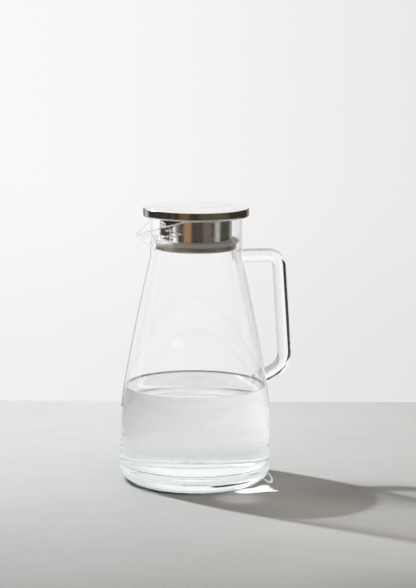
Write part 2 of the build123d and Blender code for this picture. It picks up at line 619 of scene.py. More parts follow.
def clear_to_lamps(graph: Graph, shader: bpy.types.Node, tint: object) -> bpy.types.NodeSocket:
    """Makes a surface let lamp light and soft light straight through to what lies behind it.

    Args:
        graph: The material's graph.
        shader: The shader that all other light meets.
        tint: Colour of the light that passes, as a socket or four numbers.

    Returns:
        The mixed shader's socket.
    """
    clear = graph.add("ShaderNodeBsdfTransparent")
    graph.feed(clear.inputs[0], tint)
    path = graph.add("ShaderNodeLightPath").outputs
    mix = graph.add("ShaderNodeMixShader")
    graph.feed(mix.inputs[0], graph.math("MAXIMUM", path["Is Shadow Ray"], path["Is Diffuse Ray"]))
    graph.feed(mix.inputs[1], shader.outputs[0])
    graph.feed(mix.inputs[2], clear.outputs[0])
    return mix.outputs[0]


# Finishes


@dataclass(frozen=True)
class GlassFinish:
    """Clear blown glass: faintly green in its depth, slightly wavy, with wipe marks.

    deep_below is the height in metres below which the base's own tint shows. waviness is the waves'
    depth in metres, and a higher wave_size gives smaller waves.
    """

    name: str
    bend: float = 1.47
    tint: Colour = (1.0, 1.0, 1.0)
    deep_tint: Colour = (0.94, 0.975, 0.97)
    deep_below: float = 0.02
    deep_waves: float = 1.2
    waviness: float = 0.00006
    wave_size: float = 26.0
    smudge: float = 0.02
    dust: float = 0.25
    light_passed: float = 0.91
    edge_light: float = 0.3
    caught_light: Colour = (0.8, 0.84, 0.84)
    caught_after: float = 2.5

    def material(self, effects: SharedEffects) -> bpy.types.Material:
        """Makes the finish.

        Args:
            effects: The shared surface effects.

        Returns:
            The material.
        """
        material, graph, shader, output = new_material(self.name)
        spot = graph.add("ShaderNodeTexCoord").outputs["Object"]
        parts = graph.add("ShaderNodeSeparateXYZ")
        graph.feed(parts.inputs[0], spot)
        depth = graph.remap(parts.outputs[2], self.deep_below * 0.6, self.deep_below, 1.0, 0.0)
        graph.feed(shader.inputs["Base Color"], graph.blend(depth, self.tint, self.deep_tint))
        marks = use_group(
            graph,
            effects.handling,
            Patch_Size=22.0,
            Dust_Size=1900.0,
            Low=0.0,
            High=self.smudge,
            Dust=self.dust,
        )
        graph.feed(shader.inputs["Roughness"], marks.outputs["Roughness"])
        flow = graph.add("ShaderNodeMapping")
        graph.feed(flow.inputs["Vector"], spot)
        flow.inputs["Scale"].default_value = (1.0, 1.0, 0.45)
        waves = graph.noise(flow.outputs[0], self.wave_size, 1.0, 0.4)
        chill = graph.noise(spot, self.wave_size * 5.0, 1.0, 0.4)
        chill = graph.math("MULTIPLY", graph.math("MULTIPLY", chill, depth), self.deep_waves)
        bump(graph, shader, graph.math("ADD", waves, chill), self.waviness)
        shader.inputs["Transmission Weight"].default_value = 1.0
        shader.inputs["IOR"].default_value = self.bend
        self.let_light_through(graph, shader, output)
        return material

    def let_light_through(self, graph: Graph, shader: bpy.types.Node, output: bpy.types.Node) -> None:
        """Lets lamp light pass to the table, and gives light that is caught in the glass a pale end.

        Less lamp light passes where the glass lies edge on to it. Light that has been mirrored more
        than caught_after times ends in caught_light, which stands in for the light held in a thick
        base.

        Args:
            graph: The material's graph.
            shader: The glass shader.
            output: The material's output node.
        """
        facing = graph.add("ShaderNodeLayerWeight").outputs["Facing"]
        grazing = graph.math("POWER", facing, 3.0)
        passed = graph.blend(grazing, (self.light_passed,) * 3, (self.edge_light,) * 3)
        lit = clear_to_lamps(graph, shader, passed)
        caught = graph.add("ShaderNodeEmission")
        caught.inputs["Color"].default_value = (*self.caught_light, 1.0)
        mirrored = graph.add("ShaderNodeLightPath").outputs["Glossy Depth"]
        ending = graph.add("ShaderNodeMixShader")
        graph.feed(ending.inputs[0], graph.math("GREATER_THAN", mirrored, self.caught_after))
        graph.feed(ending.inputs[1], lit)
        graph.feed(ending.inputs[2], caught.outputs[0])
        graph.feed(output.inputs["Surface"], ending.outputs[0])


@dataclass(frozen=True)
class SteelFinish:
    """Stainless sheet with polishing lines, finger marks and brighter rubbed edges."""

    name: str
    grain: Grain
    colour: Colour = (0.72, 0.7, 0.68)
    roughness: float = 0.16
    smudge: float = 0.08
    line_count: float = 2600.0
    line_contrast: float = 0.16
    line_depth: float = 0.000004
    stretch: float = 0.55
    wear: float = 0.6

    def material(self, effects: SharedEffects) -> bpy.types.Material:
        """Makes the finish.

        Args:
            effects: The shared surface effects.

        Returns:
            The material.
        """
        material, graph, shader, _ = new_material(self.name)
        on_disc = 1.0 if self.grain is Grain.RINGS_ON_DISC else 0.0
        lines = use_group(
            graph,
            effects.lathe_lines,
            On_Disc=on_disc,
            Lines=self.line_count,
            Length=9.0,
            Contrast=self.line_contrast,
        )
        marks = use_group(
            graph,
            effects.handling,
            Patch_Size=48.0,
            Dust_Size=2400.0,
            Low=self.roughness,
            High=self.roughness + self.smudge,
            Dust=0.35,
        )
        edges = use_group(graph, effects.edge_wear, Amount=self.wear, Grit=1400.0)
        shade = graph.combine(*[lines.outputs["Shade"]] * 3)
        dulled = graph.blend(marks.outputs["Mask"], self.colour, tuple(c * 0.93 for c in self.colour))
        lined = graph.blend(1.0, dulled, shade, "MULTIPLY")
        bright = tuple(min(1.0, c * 1.22) for c in self.colour)
        graph.feed(shader.inputs["Base Color"], graph.blend(edges.outputs["Mask"], lined, bright))
        rough = graph.math("ADD", marks.outputs["Roughness"], lines.outputs["Roughness"], clamp=True)
        graph.feed(shader.inputs["Roughness"], graph.math("MULTIPLY_ADD", edges.outputs["Mask"], 0.06, rough))
        bump(graph, shader, lines.outputs["Height"], self.line_depth)
        shader.inputs["Metallic"].default_value = 1.0
        shader.inputs["Anisotropic"].default_value = self.stretch
        return material


@dataclass(frozen=True)
class SiliconeFinish:
    """Translucent cream silicone with a fine moulded texture."""

    name: str = "cream_silicone"
    colour: Colour = (0.97, 0.94, 0.89)
    shade: Colour = (0.93, 0.9, 0.84)
    clearness: float = 0.2
    relief: float = 0.00002

    def material(self, effects: SharedEffects) -> bpy.types.Material:
        """Makes the finish.

        Args:
            effects: The shared surface effects.

        Returns:
            The material.
        """
        material, graph, shader, _ = new_material(self.name)
        marks = use_group(
            graph,
            effects.handling,
            Patch_Size=60.0,
            Dust_Size=1500.0,
            Low=0.32,
            High=0.5,
            Dust=0.6,
        )
        edges = use_group(graph, effects.edge_wear, Amount=0.5, Grit=700.0)
        spot = graph.add("ShaderNodeTexCoord").outputs["Object"]
        clouds = graph.noise(spot, 240.0, 3.0)
        body = graph.blend(graph.remap(clouds, 0.3, 0.7, 0.0, 1.0), self.colour, self.shade)
        pale = tuple(min(1.0, c * 1.12) for c in self.colour)
        graph.feed(shader.inputs["Base Color"], graph.blend(edges.outputs["Mask"], body, pale))
        graph.feed(shader.inputs["Roughness"], marks.outputs["Roughness"])
        bump(graph, shader, graph.noise(spot, 5200.0, 2.0), self.relief)
        shader.inputs["Transmission Weight"].default_value = self.clearness
        shader.inputs["IOR"].default_value = 1.41
        shader.inputs["Subsurface Weight"].default_value = 0.7
        shader.inputs["Subsurface Radius"].default_value = (1.0, 0.95, 0.85)
        shader.inputs["Subsurface Scale"].default_value = 0.004
        return material


@dataclass(frozen=True)
class WaterFinish:
    """Still water, whose surface only trembles a little, with painted shade: dark where it climbs the glass,
    on the faces seen from the air side.

    The lengths are in metres.
    """

    name: str = "still_water"
    ripple: float = 0.00008
    level: float = 0.087
    # Painted shade: the dark band where the water climbs the glass.
    meniscus_shade_share: float = 0.9
    meniscus_shade_colour: Colour = (0.05, 0.04, 0.03)
    light_passed: float = 0.45
    side_shadow: float = 0.75
    sides: bool = False

    def material(self) -> bpy.types.Material:
        """Makes the finish.

        Returns:
            The material.
        """
        material, graph, shader, output = new_material(self.name)
        spot = graph.add("ShaderNodeTexCoord").outputs["Object"]
        calm = graph.noise(spot, 34.0, 1.0)
        still = graph.blend(calm, (0.99, 0.995, 1.0), (0.97, 0.985, 0.99))
        height = graph.add("ShaderNodeSeparateXYZ")
        graph.feed(height.inputs[0], spot)
        # Painted shade where the surface climbs the glass, on the faces seen from the air side.
        climb = graph.remap(height.outputs[2], self.level + 0.0001, self.level + 0.0006, 0.0, 1.0)
        above = graph.math("SUBTRACT", 1.0, graph.add("ShaderNodeNewGeometry").outputs["Backfacing"])
        edge = graph.math("MULTIPLY", graph.math("MULTIPLY", climb, above), self.meniscus_shade_share)
        graph.feed(shader.inputs["Base Color"], graph.blend(edge, still, self.meniscus_shade_colour))
        bump(graph, shader, calm, self.ripple)
        shader.inputs["Roughness"].default_value = 0.0
        shader.inputs["Transmission Weight"].default_value = 1.0
        shader.inputs["IOR"].default_value = 1.333
        if self.sides:
            shadow = graph.add("ShaderNodeLightPath").outputs["Is Shadow Ray"]
            graph.feed(shader.inputs["Alpha"], graph.math("MULTIPLY", shadow, self.side_shadow))
        else:
            lit = clear_to_lamps(graph, shader, (*(self.light_passed,) * 3, 1.0))
            graph.feed(output.inputs["Surface"], lit)
        return material


@dataclass(frozen=True)
class Spill:
    """A soft oval on the table: painted light where the glass throws light, or painted shade where the table
    is dimmer.

    Its middle is in millimetres to the right and away, its half axes too, and its turn in degrees.
    The strength is full up to core, a share of the half axes. A hollow oval is a ring.
    """

    right: float
    away: float
    turn: float
    long: float
    wide: float
    strength: float
    core: float = 0.45
    hollow: bool = False


@dataclass(frozen=True)
class TableFinish:
    """Pale trowelled surface with painted light: lighter towards the far edge and darker to the right, a few
    painted dimmer spots, and the light that the jug throws painted on as glow.
    """

    name: str = "pale_table"
    # near and far: painted light falloff, the table's colour darker towards the front where the light falls
    # off.
    near: Colour = (0.4, 0.4, 0.39)
    far: Colour = (0.75, 0.75, 0.73)
    nearness_at_jug: float = 0.48
    nearness_per_metre: float = -1.5
    falloff: float = 1.8
    # Painted shade: the table's colour grows darker towards the right, where the light falls off.
    painted_shade_to_right: float = 0.19
    # Painted shade: soft ovals where the table's colour is darker, in the jug's shadow to the right and at
    # the front right.
    painted_shade_spots: tuple[Spill, ...] = (
        Spill(170.0, -56.0, -8.0, 120.0, 66.0, 0.27, 0.2),
        Spill(190.0, -350.0, 0.0, 150.0, 80.0, 0.2, 0.1),
    )
    # Painted light and shade on the table as seen through the glass: lighter to the left, darker to the
    # right.
    painted_tone_through_glass: float = 0.2
    lamp_share: float = 1.62
    fill_share: float = 0.31
    gathered: float = 0.62
    gathered_within: tuple[float, float] = (0.058, 0.074)
    contact: float = 0.92
    contact_inner: tuple[float, float] = (0.05, 0.055)
    contact_outer: tuple[float, float] = (0.061, 0.0665)
    contact_side: tuple[float, float] = (-0.02, 0.03)
    spills: tuple[Spill, ...] = (
        Spill(53.0, -44.0, 25.0, 21.0, 10.0, 0.9, 0.7),
        Spill(64.0, -44.0, -8.0, 13.0, 4.5, 0.9, 0.6),
        Spill(61.0, -34.0, 70.0, 12.0, 7.0, 0.9, 0.6),
        Spill(66.0, 8.0, 96.0, 27.0, 5.0, 0.5, 0.8, True),
        Spill(40.0, -76.0, 0.0, 30.0, 26.0, 0.16, 0.2),
    )

    def material(self, heading: float) -> bpy.types.Material:
        """Makes the finish.

        Args:
            heading: Direction of the far edge, in radians from +Y towards +X.

        Returns:
            The material.
        """
        material, graph, shader, _ = new_material(self.name)
        spot = graph.add("ShaderNodeTexCoord").outputs["Object"]
        turned_spot = graph.add("ShaderNodeVectorRotate", rotation_type="Z_AXIS")
        graph.feed(turned_spot.inputs["Vector"], spot)
        turned_spot.inputs["Angle"].default_value = heading
        parts = graph.add("ShaderNodeSeparateXYZ")
        graph.feed(parts.inputs[0], turned_spot.outputs[0])
        # Painted light falloff: the colour is lighter towards the far edge and darker towards the front.
        nearness = graph.math(
            "MULTIPLY_ADD",
            parts.outputs[1],
            self.nearness_per_metre,
            self.nearness_at_jug,
            clamp=True,
        )
        share = graph.math("SUBTRACT", 1.0, graph.math("POWER", nearness, self.falloff))
        base = graph.blend(share, self.near, self.far)
        # Painted shade towards the right, on the far part of the table.
        far_side = graph.remap(parts.outputs[1], -0.2, 0.02, 0.0, 1.0)
        slope = graph.remap(parts.outputs[0], -0.12, 0.3, 0.0, self.painted_shade_to_right)
        beyond = graph.remap(parts.outputs[0], 0.3, 0.9, 0.0, self.painted_shade_to_right)
        slope = graph.math("MULTIPLY", graph.math("ADD", slope, beyond), far_side)
        # Painted shade in a few soft ovals.
        painted_dimming = self.ovals(graph, parts, self.painted_shade_spots)
        side = graph.math("SUBTRACT", 1.0, graph.math("ADD", slope, painted_dimming))
        path = graph.add("ShaderNodeLightPath").outputs
        # Painted light and shade, seen only through the glass: lighter to the left, darker to the right.
        through = graph.remap(parts.outputs[0], -0.16, 0.16, self.painted_tone_through_glass, -self.painted_tone_through_glass)
        side = graph.math("MULTIPLY_ADD", through, path["Is Transmission Ray"], side)
        side = graph.math("DIVIDE", side, self.lamp_light(graph, parts))
        streaked = graph.combine(
            graph.math("MULTIPLY", parts.outputs[0], 0.25),
            parts.outputs[1],
            parts.outputs[2],
        )
        clouds = graph.noise(streaked, 11.0, 4.0, 0.55)
        streaks = graph.noise(streaked, 90.0, 3.0, 0.6)
        pores = graph.noise(streaked, 560.0, 3.0, 0.7)
        mottle = graph.math("MULTIPLY_ADD", clouds, 0.22, 0.69)
        mottle = graph.math("MULTIPLY_ADD", streaks, 0.14, mottle)
        mottle = graph.math("MULTIPLY_ADD", pores, 0.26, mottle)
        mottle = graph.math("MULTIPLY", mottle, side)
        mottle = graph.math("MULTIPLY", mottle, self.contact_shade(graph, parts))
        toned = graph.blend(1.0, base, graph.combine(*[mottle] * 3), "MULTIPLY")
        graph.feed(shader.inputs["Base Color"], toned)
        graph.feed(shader.inputs["Roughness"], graph.remap(clouds, 0.3, 0.7, 0.5, 0.62))
        shader.inputs["Specular IOR Level"].default_value = 0.12
        gathered = graph.math("MULTIPLY", self.under_base(graph, parts), path["Is Transmission Ray"])
        light = graph.math("ADD", gathered, self.ovals(graph, parts, self.spills))
        graph.feed(shader.inputs["Emission Color"], graph.combine(light, light, light))
        shader.inputs["Emission Strength"].default_value = 1.0
        bump(graph, shader, pores, 0.0002)
        return material

    def lamp_light(self, graph: Graph, parts: bpy.types.Node) -> bpy.types.NodeSocket:
        """How much light the near lamp and the fill give each place, by which the tones are evened out.

        Args:
            graph: The table's graph.
            parts: Node with the place on the table, to the right and away.

        Returns:
            Strength of the light.
        """
        reach = graph.add("ShaderNodeVectorMath", operation="DISTANCE")
        graph.feed(reach.inputs[0], graph.combine(*parts.outputs))
        graph.feed(reach.inputs[1], LAMP_PLACE)
        fall = graph.math("POWER", reach.outputs["Value"], -3.0)
        return graph.math("MULTIPLY_ADD", fall, self.lamp_share, self.fill_share)

    def from_axis(self, graph: Graph, parts: bpy.types.Node) -> bpy.types.NodeSocket:
        """Distance on the table from the jug's axis.

        Args:
            graph: The table's graph.
            parts: Node with the place on the table, to the right and away.

        Returns:
            The distance in metres.
        """
        length = graph.add("ShaderNodeVectorMath", operation="LENGTH")
        graph.feed(length.inputs[0], graph.combine(parts.outputs[0], parts.outputs[1], 0.0))
        return length.outputs["Value"]

    def under_base(self, graph: Graph, parts: bpy.types.Node) -> bpy.types.NodeSocket:
        """Light that the water and the thick base gather below the jug."""
        return graph.remap(self.from_axis(graph, parts), *self.gathered_within, self.gathered, 0.0)

    def contact_shade(self, graph: Graph, parts: bpy.types.Node) -> bpy.types.NodeSocket:
        """Dark rim where the table lies close under the rounded base, away from the bright side.

        Args:
            graph: The table's graph.
            parts: Node with the place on the table, to the right and away.

        Returns:
            Share of the table's own colour, from 0 to 1.
        """
        distance = self.from_axis(graph, parts)
        inner = graph.remap(distance, *self.contact_inner, 0.0, 1.0)
        outer = graph.remap(distance, *self.contact_outer, 1.0, 0.0)
        left = graph.remap(parts.outputs[0], *self.contact_side, 1.0, 0.0)
        ring = graph.math("MULTIPLY", graph.math("MULTIPLY", inner, outer), left)
        return graph.math("MULTIPLY_ADD", ring, -self.contact, 1.0)

    def spot(self, graph: Graph, parts: bpy.types.Node, spill: Spill) -> bpy.types.NodeSocket:
        """One soft oval on the table.

        Args:
            graph: The table's graph.
            parts: Node with the place on the table, to the right and away.
            spill: Its place, size and strength.

        Returns:
            Strength, falling to nothing at the oval's edge.
        """
        mapping = graph.add("ShaderNodeMapping", vector_type="TEXTURE")
        graph.feed(mapping.inputs["Vector"], graph.combine(parts.outputs[0], parts.outputs[1], 0.0))
        mapping.inputs["Location"].default_value = (spill.right * MM, spill.away * MM, 0.0)
        mapping.inputs["Rotation"].default_value = (0.0, 0.0, math.radians(spill.turn))
        mapping.inputs["Scale"].default_value = (spill.long * MM, spill.wide * MM, 1.0)
        length = graph.add("ShaderNodeVectorMath", operation="LENGTH")
        graph.feed(length.inputs[0], mapping.outputs[0])
        near = graph.remap(length.outputs["Value"], spill.core, 1.0, spill.strength, 0.0)
        if spill.hollow:
            rise = graph.remap(length.outputs["Value"], spill.core - 0.25, spill.core, 0.0, 1.0)
            near = graph.math("MULTIPLY", near, rise)
        return near

    def ovals(
        self,
        graph: Graph,
        parts: bpy.types.Node,
        spills: Sequence[Spill],
    ) -> bpy.types.NodeSocket:
        """The sum of several soft ovals on the table.

        Args:
            graph: The table's graph.
            parts: Node with the place on the table, to the right and away.
            spills: The ovals.

        Returns:
            Their strength.
        """
        total: object = 0.0
        for spill in spills:
            total = graph.math("ADD", total, self.spot(graph, parts, spill))
        return total


# The glass


@dataclass
class JugBody:
    """Blown jug with a thick base, a cone, a straight neck and a pinched spout, in millimetres."""

    rim_height: float = 242.0
    neck_radius: float = 41.4
    neck_foot_height: float = 205.8
    neck_foot_rounding: float = 7.0
    cone_bulge: float = 1.1
    bend_height: float = 71.0
    bend_corner_radius: float = 68.37
    bend_rounding: float = 270.0
    base_radius: float = 68.76
    base_rounding: float = 14.4
    wall: float = 1.9
    floor_height: float = 14.0
    floor_rounding: float = 13.0
    ring_width: float = 4.0
    punt_depth: float = 1.5
    spout_reach: float = 60.0
    spout_half_angle: float = 52.0
    spout_hip_depth: float = 0.8
    spout_start: float = 209.5
    spout_tip: float = 227.0
    spout_tip_lip: float = 1.8
    spout_nose: float = 4.0
    crease_softness: float = 0.8
    rim_ease: float = 1.2
    rim_ease_depth: float = 0.3
    shaped_from: float = 208.0
    shaped_rows: int = 44
    columns: int = 288
    wet_below: float = 88.6

    def columns_round(self) -> np.ndarray:
        """Angles from the spout's direction, closest together at the spout.

        Returns:
            Angles in radians from -pi to pi.
        """
        fine = np.linspace(-180.0, 180.0, 7201)
        crowd = 1.0 + 9.0 * np.exp(-((fine / 5.0) ** 2)) + 1.4 * np.exp(-((fine / 45.0) ** 2))
        share = np.concatenate([[0.0], np.cumsum((crowd[1:] + crowd[:-1]) / 2)])
        steps = np.linspace(0.0, share[-1], self.columns + 1)[:-1]
        return np.radians(np.interp(steps, share, fine))

    def wall_line(self, inset: float, low: float, corner: float) -> np.ndarray:
        """The wall's half section from its lower corner to the neck.

        Args:
            inset: How far the line lies inside the outer face.
            low: Height of the floor that the corner rounds into.
            corner: Rounding of the lower corner.

        Returns:
            Points of radius and height, from low to high.
        """
        base = np.array([self.base_radius - inset, low])
        bend = np.array([self.bend_corner_radius - inset, self.bend_height])
        foot = np.array([self.neck_radius - inset, self.neck_foot_height])
        along = (bend - base) / np.linalg.norm(bend - base)
        inward = np.array([-along[1], along[0]])
        knuckle = np.array([base[0] - corner * (1 - along[0]) / along[1], low + corner])
        low_arc = arc(knuckle, corner, -math.pi / 2, math.atan2(-inward[1], -inward[0]), 14)
        chord = np.linalg.norm(foot - bend)
        cone = chord**2 / (8 * self.cone_bulge) + self.cone_bulge / 2
        up = (foot - bend) / chord
        outward = np.array([up[1], -up[0]])
        hub = (foot + bend) / 2 - outward * (cone - self.cone_bulge)
        start = base + inward * self.bend_rounding - hub
        half = start @ along
        reach = -half - math.sqrt(half**2 - start @ start + (cone - self.bend_rounding) ** 2)
        other = -half + math.sqrt(half**2 - start @ start + (cone - self.bend_rounding) ** 2)
        reach = min((reach, other), key=lambda value: abs(value - self.bend_height + low))
        pivot = base + inward * self.bend_rounding + along * reach
        touch = (pivot - hub) / np.linalg.norm(pivot - hub)
        mid_arc = arc(
            pivot,
            self.bend_rounding,
            math.atan2(-inward[1], -inward[0]),
            math.atan2(touch[1], touch[0]),
            12,
        )
        waist = np.array([foot[0] + self.neck_foot_rounding, 0.0])
        waist[1] = hub[1] + math.sqrt((cone + self.neck_foot_rounding) ** 2 - (waist[0] - hub[0]) ** 2)
        leave = (waist - hub) / np.linalg.norm(waist - hub)
        cone_arc = arc(hub, cone, math.atan2(touch[1], touch[0]), math.atan2(leave[1], leave[0]), 26)
        neck_arc = arc(
            waist,
            self.neck_foot_rounding,
            math.atan2(-leave[1], -leave[0]) % (2 * math.pi),
            math.pi,
            5,
        )
        flat = np.linspace(low_arc[-1], mid_arc[0], 8)[1:-1]
        top = np.array([[foot[0], self.shaped_from]])
        return np.concatenate([low_arc, flat, mid_arc, cone_arc[1:], neck_arc[1:], top])

    def outer_line(self) -> np.ndarray:
        """The outer face from the middle of the punt to the neck."""
        ring = self.base_radius - self.base_rounding
        dish = ring - self.ring_width
        share = np.linspace(0.0, 1.0, 9)
        punt = np.stack([dish * share, self.punt_depth * (1 - share**2)], 1)
        return np.concatenate([punt, self.wall_line(0.0, 0.0, self.base_rounding)])

    def inner_line(self) -> np.ndarray:
        """The inner face from the middle of the floor to the neck."""
        line = self.wall_line(self.wall, self.floor_height, self.floor_rounding)
        share = np.linspace(0.0, 1.0, 7)[:-1]
        floor = np.stack([line[0, 0] * share, np.full(6, self.floor_height)], 1)
        line = np.concatenate([floor, line])
        extra = [np.interp(self.wet_below, line[6:, 1], line[6:, 0]), self.wet_below]
        row = int(np.searchsorted(line[6:, 1], self.wet_below)) + 6
        return np.insert(line, row, extra, axis=0)

    def outer_radius(self, height: np.ndarray) -> np.ndarray:
        """Radius of the outer face at given heights, away from the spout."""
        line = self.outer_line()[9:]
        return np.interp(height, line[:, 1], line[:, 0])

    def inner_radius(self, height: np.ndarray) -> np.ndarray:
        """Radius of the inner face at given heights, away from the spout."""
        line = self.inner_line()[6:]
        return np.interp(height, line[:, 1], line[:, 0])

    def keel(self, inset: float) -> tuple[np.ndarray, np.ndarray]:
        """The spout's lower line.

        Args:
            inset: How far the line lies inside the outer face.

        Returns:
            Heights, and how far the spout reaches at each.
        """
        points = np.array(
            [
                (self.neck_radius - 1.4, self.spout_start),
                (self.neck_radius - 0.5, self.spout_start + 6.3),
                (self.spout_reach - 9.5, self.spout_tip - 8.0),
                (self.spout_reach, self.spout_tip),
            ]
        )
        t = np.linspace(0.0, 1.0, 65)[:, None]
        curve = (
            (1 - t) ** 3 * points[0]
            + 3 * (1 - t) ** 2 * t * points[1]
            + 3 * (1 - t) * t**2 * points[2]
            + t**3 * points[3]
        )
        way = (
            (1 - t) ** 2 * (points[1] - points[0])
            + 2 * (1 - t) * t * (points[2] - points[1])
            + t**2 * (points[3] - points[2])
        )
        way = way / np.linalg.norm(way, axis=1, keepdims=True)
        return curve[:, 1] + inset * way[:, 0], curve[:, 0] - inset * way[:, 1]

    def shaped_radius(self, angle: np.ndarray, height: np.ndarray, inset: float) -> np.ndarray:
        """Radius of the neck with its spout.

        Args:
            angle: Angles from the spout's direction, in radians.
            height: Heights, in the same arrangement.
            inset: How far the face lies inside the outer one.

        Returns:
            Radius at each place.
        """
        neck = self.neck_radius - inset
        heights, reaches = self.keel(inset)
        reach = np.interp(height, heights, reaches)
        nose = self.spout_nose - inset
        limit = math.radians(self.spout_half_angle)
        hip = (neck - self.spout_hip_depth) * np.array([math.cos(limit), math.sin(limit)])
        middle = reach - nose
        gap = np.hypot(hip[0] - middle, hip[1])
        lean = np.arctan2(hip[1], hip[0] - middle) - np.arccos(nose / gap)
        aside = np.abs(angle)
        touch = np.arctan2(nose * np.sin(lean), middle + nose * np.cos(lean))
        flank = (middle * np.cos(lean) + nose) / np.cos(aside - lean)
        inside = np.maximum(nose**2 - (middle * np.sin(aside)) ** 2, 0.0)
        tip = middle * np.cos(aside) + np.sqrt(inside)
        drawn = np.where(aside < touch, tip, flank)
        drawn = np.where(aside > limit, neck - self.spout_hip_depth, drawn)
        drawn = np.maximum(drawn, neck - 3 * self.crease_softness)
        overlap = np.maximum(self.crease_softness - np.abs(drawn - neck), 0.0) / self.crease_softness
        return np.maximum(drawn, neck) + overlap**2 * self.crease_softness / 4

    def rim_line(self, ahead: np.ndarray) -> np.ndarray:
        """Height of the rim, which slopes down towards the spout's tip.

        Args:
            ahead: Distance in front of the axis, towards the spout.

        Returns:
            Height of the rim there.
        """
        hip = self.neck_radius * math.cos(math.radians(self.spout_half_angle))
        lowest = self.spout_tip + self.spout_tip_lip
        fall = (self.rim_height - lowest) / (self.spout_reach - hip)
        slope = self.rim_height - fall * (ahead - hip)
        gap = np.maximum(self.rim_ease - np.abs(slope - self.rim_height), 0.0) / self.rim_ease
        return np.minimum(slope, self.rim_height) - gap**2 * self.rim_ease_depth

    def shaped_rings(self, angle: np.ndarray, inset: float) -> np.ndarray:
        """Rings of one face from the straight neck to just below the rim.

        Args:
            angle: Angles from the spout's direction.
            inset: How far the face lies inside the outer one.

        Returns:
            Rings of points.
        """
        top = self.shaped_radius(angle, np.full_like(angle, self.rim_height), inset)
        high = self.rim_line(top * np.cos(angle)) - self.wall / 2
        share = np.linspace(0.0, 1.0, self.shaped_rows + 1)[1:, None]
        height = self.shaped_from + (high - self.shaped_from) * share
        radius = self.shaped_radius(np.broadcast_to(angle, height.shape), height, inset)
        return np.stack([-radius * np.cos(angle), -radius * np.sin(angle), height], 2)

    def rim_rings(self, outer: np.ndarray, inner: np.ndarray) -> np.ndarray:
        """Rings of the fire-rounded rim between the two faces.

        Args:
            outer: The outer face's last ring.
            inner: The inner face's last ring.

        Returns:
            The rings between them.
        """
        middle, half = (outer + inner) / 2, (outer - inner) / 2
        height = np.minimum(np.linalg.norm(half, axis=1, keepdims=True), self.wall / 2)
        up = np.array([0.0, 0.0, 1.0]) * height
        turn = np.linspace(0.0, math.pi, 10)[1:-1, None, None]
        return middle + half * np.cos(turn) + up * np.sin(turn)

    def build(self, dry: bpy.types.Material, wet: bpy.types.Material) -> bpy.types.Object:
        """Builds the jug's body.

        Args:
            dry: Finish of the faces that air touches.
            wet: Finish of the inner faces that water touches.

        Returns:
            The piece.
        """
        angle = self.columns_round()
        outer, inner = self.outer_line(), self.inner_line()
        outer_rings = turned(outer, angle + math.pi)
        inner_rings = turned(inner, angle + math.pi)
        outer_top = self.shaped_rings(angle, 0.0)
        inner_top = self.shaped_rings(angle, self.wall)
        rim = self.rim_rings(outer_top[-1], inner_top[-1])
        rings = np.concatenate([outer_rings, outer_top, rim, inner_top[::-1], inner_rings[::-1]])
        first_wet = len(rings) - 1 - int(np.argmin(np.abs(inner[:, 1] - self.wet_below)))
        maker = MeshMaker()
        numbers = maker.add_points(rings)
        maker.bridge(numbers, False, lambda row: 1 if row >= first_wet else 0)
        return maker.build("blown_body", [dry, wet], 80.0)


@dataclass
class Water:
    """The water in the jug, with its edge drawn up the glass, in millimetres."""

    level: float = 87.0
    climb: float = 1.5
    climb_width: float = 1.8
    gap: float = 0.05
    columns: int = 192

    def build(
        self,
        jug: JugBody,
        surface: bpy.types.Material,
        sides: bpy.types.Material,
    ) -> bpy.types.Object:
        """Builds the water as one closed body.

        Args:
            jug: The jug that holds it.
            surface: Finish of its top.
            sides: Finish of the faces that lie on the glass.

        Returns:
            The piece.
        """
        top = self.level + self.climb
        edge = float(jug.inner_radius(np.array([top]))[0])
        share = np.concatenate([np.linspace(0.0, 0.86, 12), np.linspace(0.88, 1.0, 26)])
        radius = edge * share
        height = self.level + self.climb * np.exp(-(edge - radius) / self.climb_width)
        over = np.stack([radius, height], 1)
        line = jug.inner_line()
        line = line[line[:, 1] < top - 0.2][::-1]
        side = np.stack([np.maximum(line[:, 0] - self.gap, 0.0), line[:, 1] + self.gap], 1)
        rings = turned(np.concatenate([over, side]), turns(self.columns))
        maker = MeshMaker()
        maker.bridge(maker.add_points(rings), False, lambda row: 0 if row < len(over) - 1 else 1)
        piece = maker.build("water", [surface, sides], 60.0)
        place(piece, Body.JUG, None, [])
        return piece


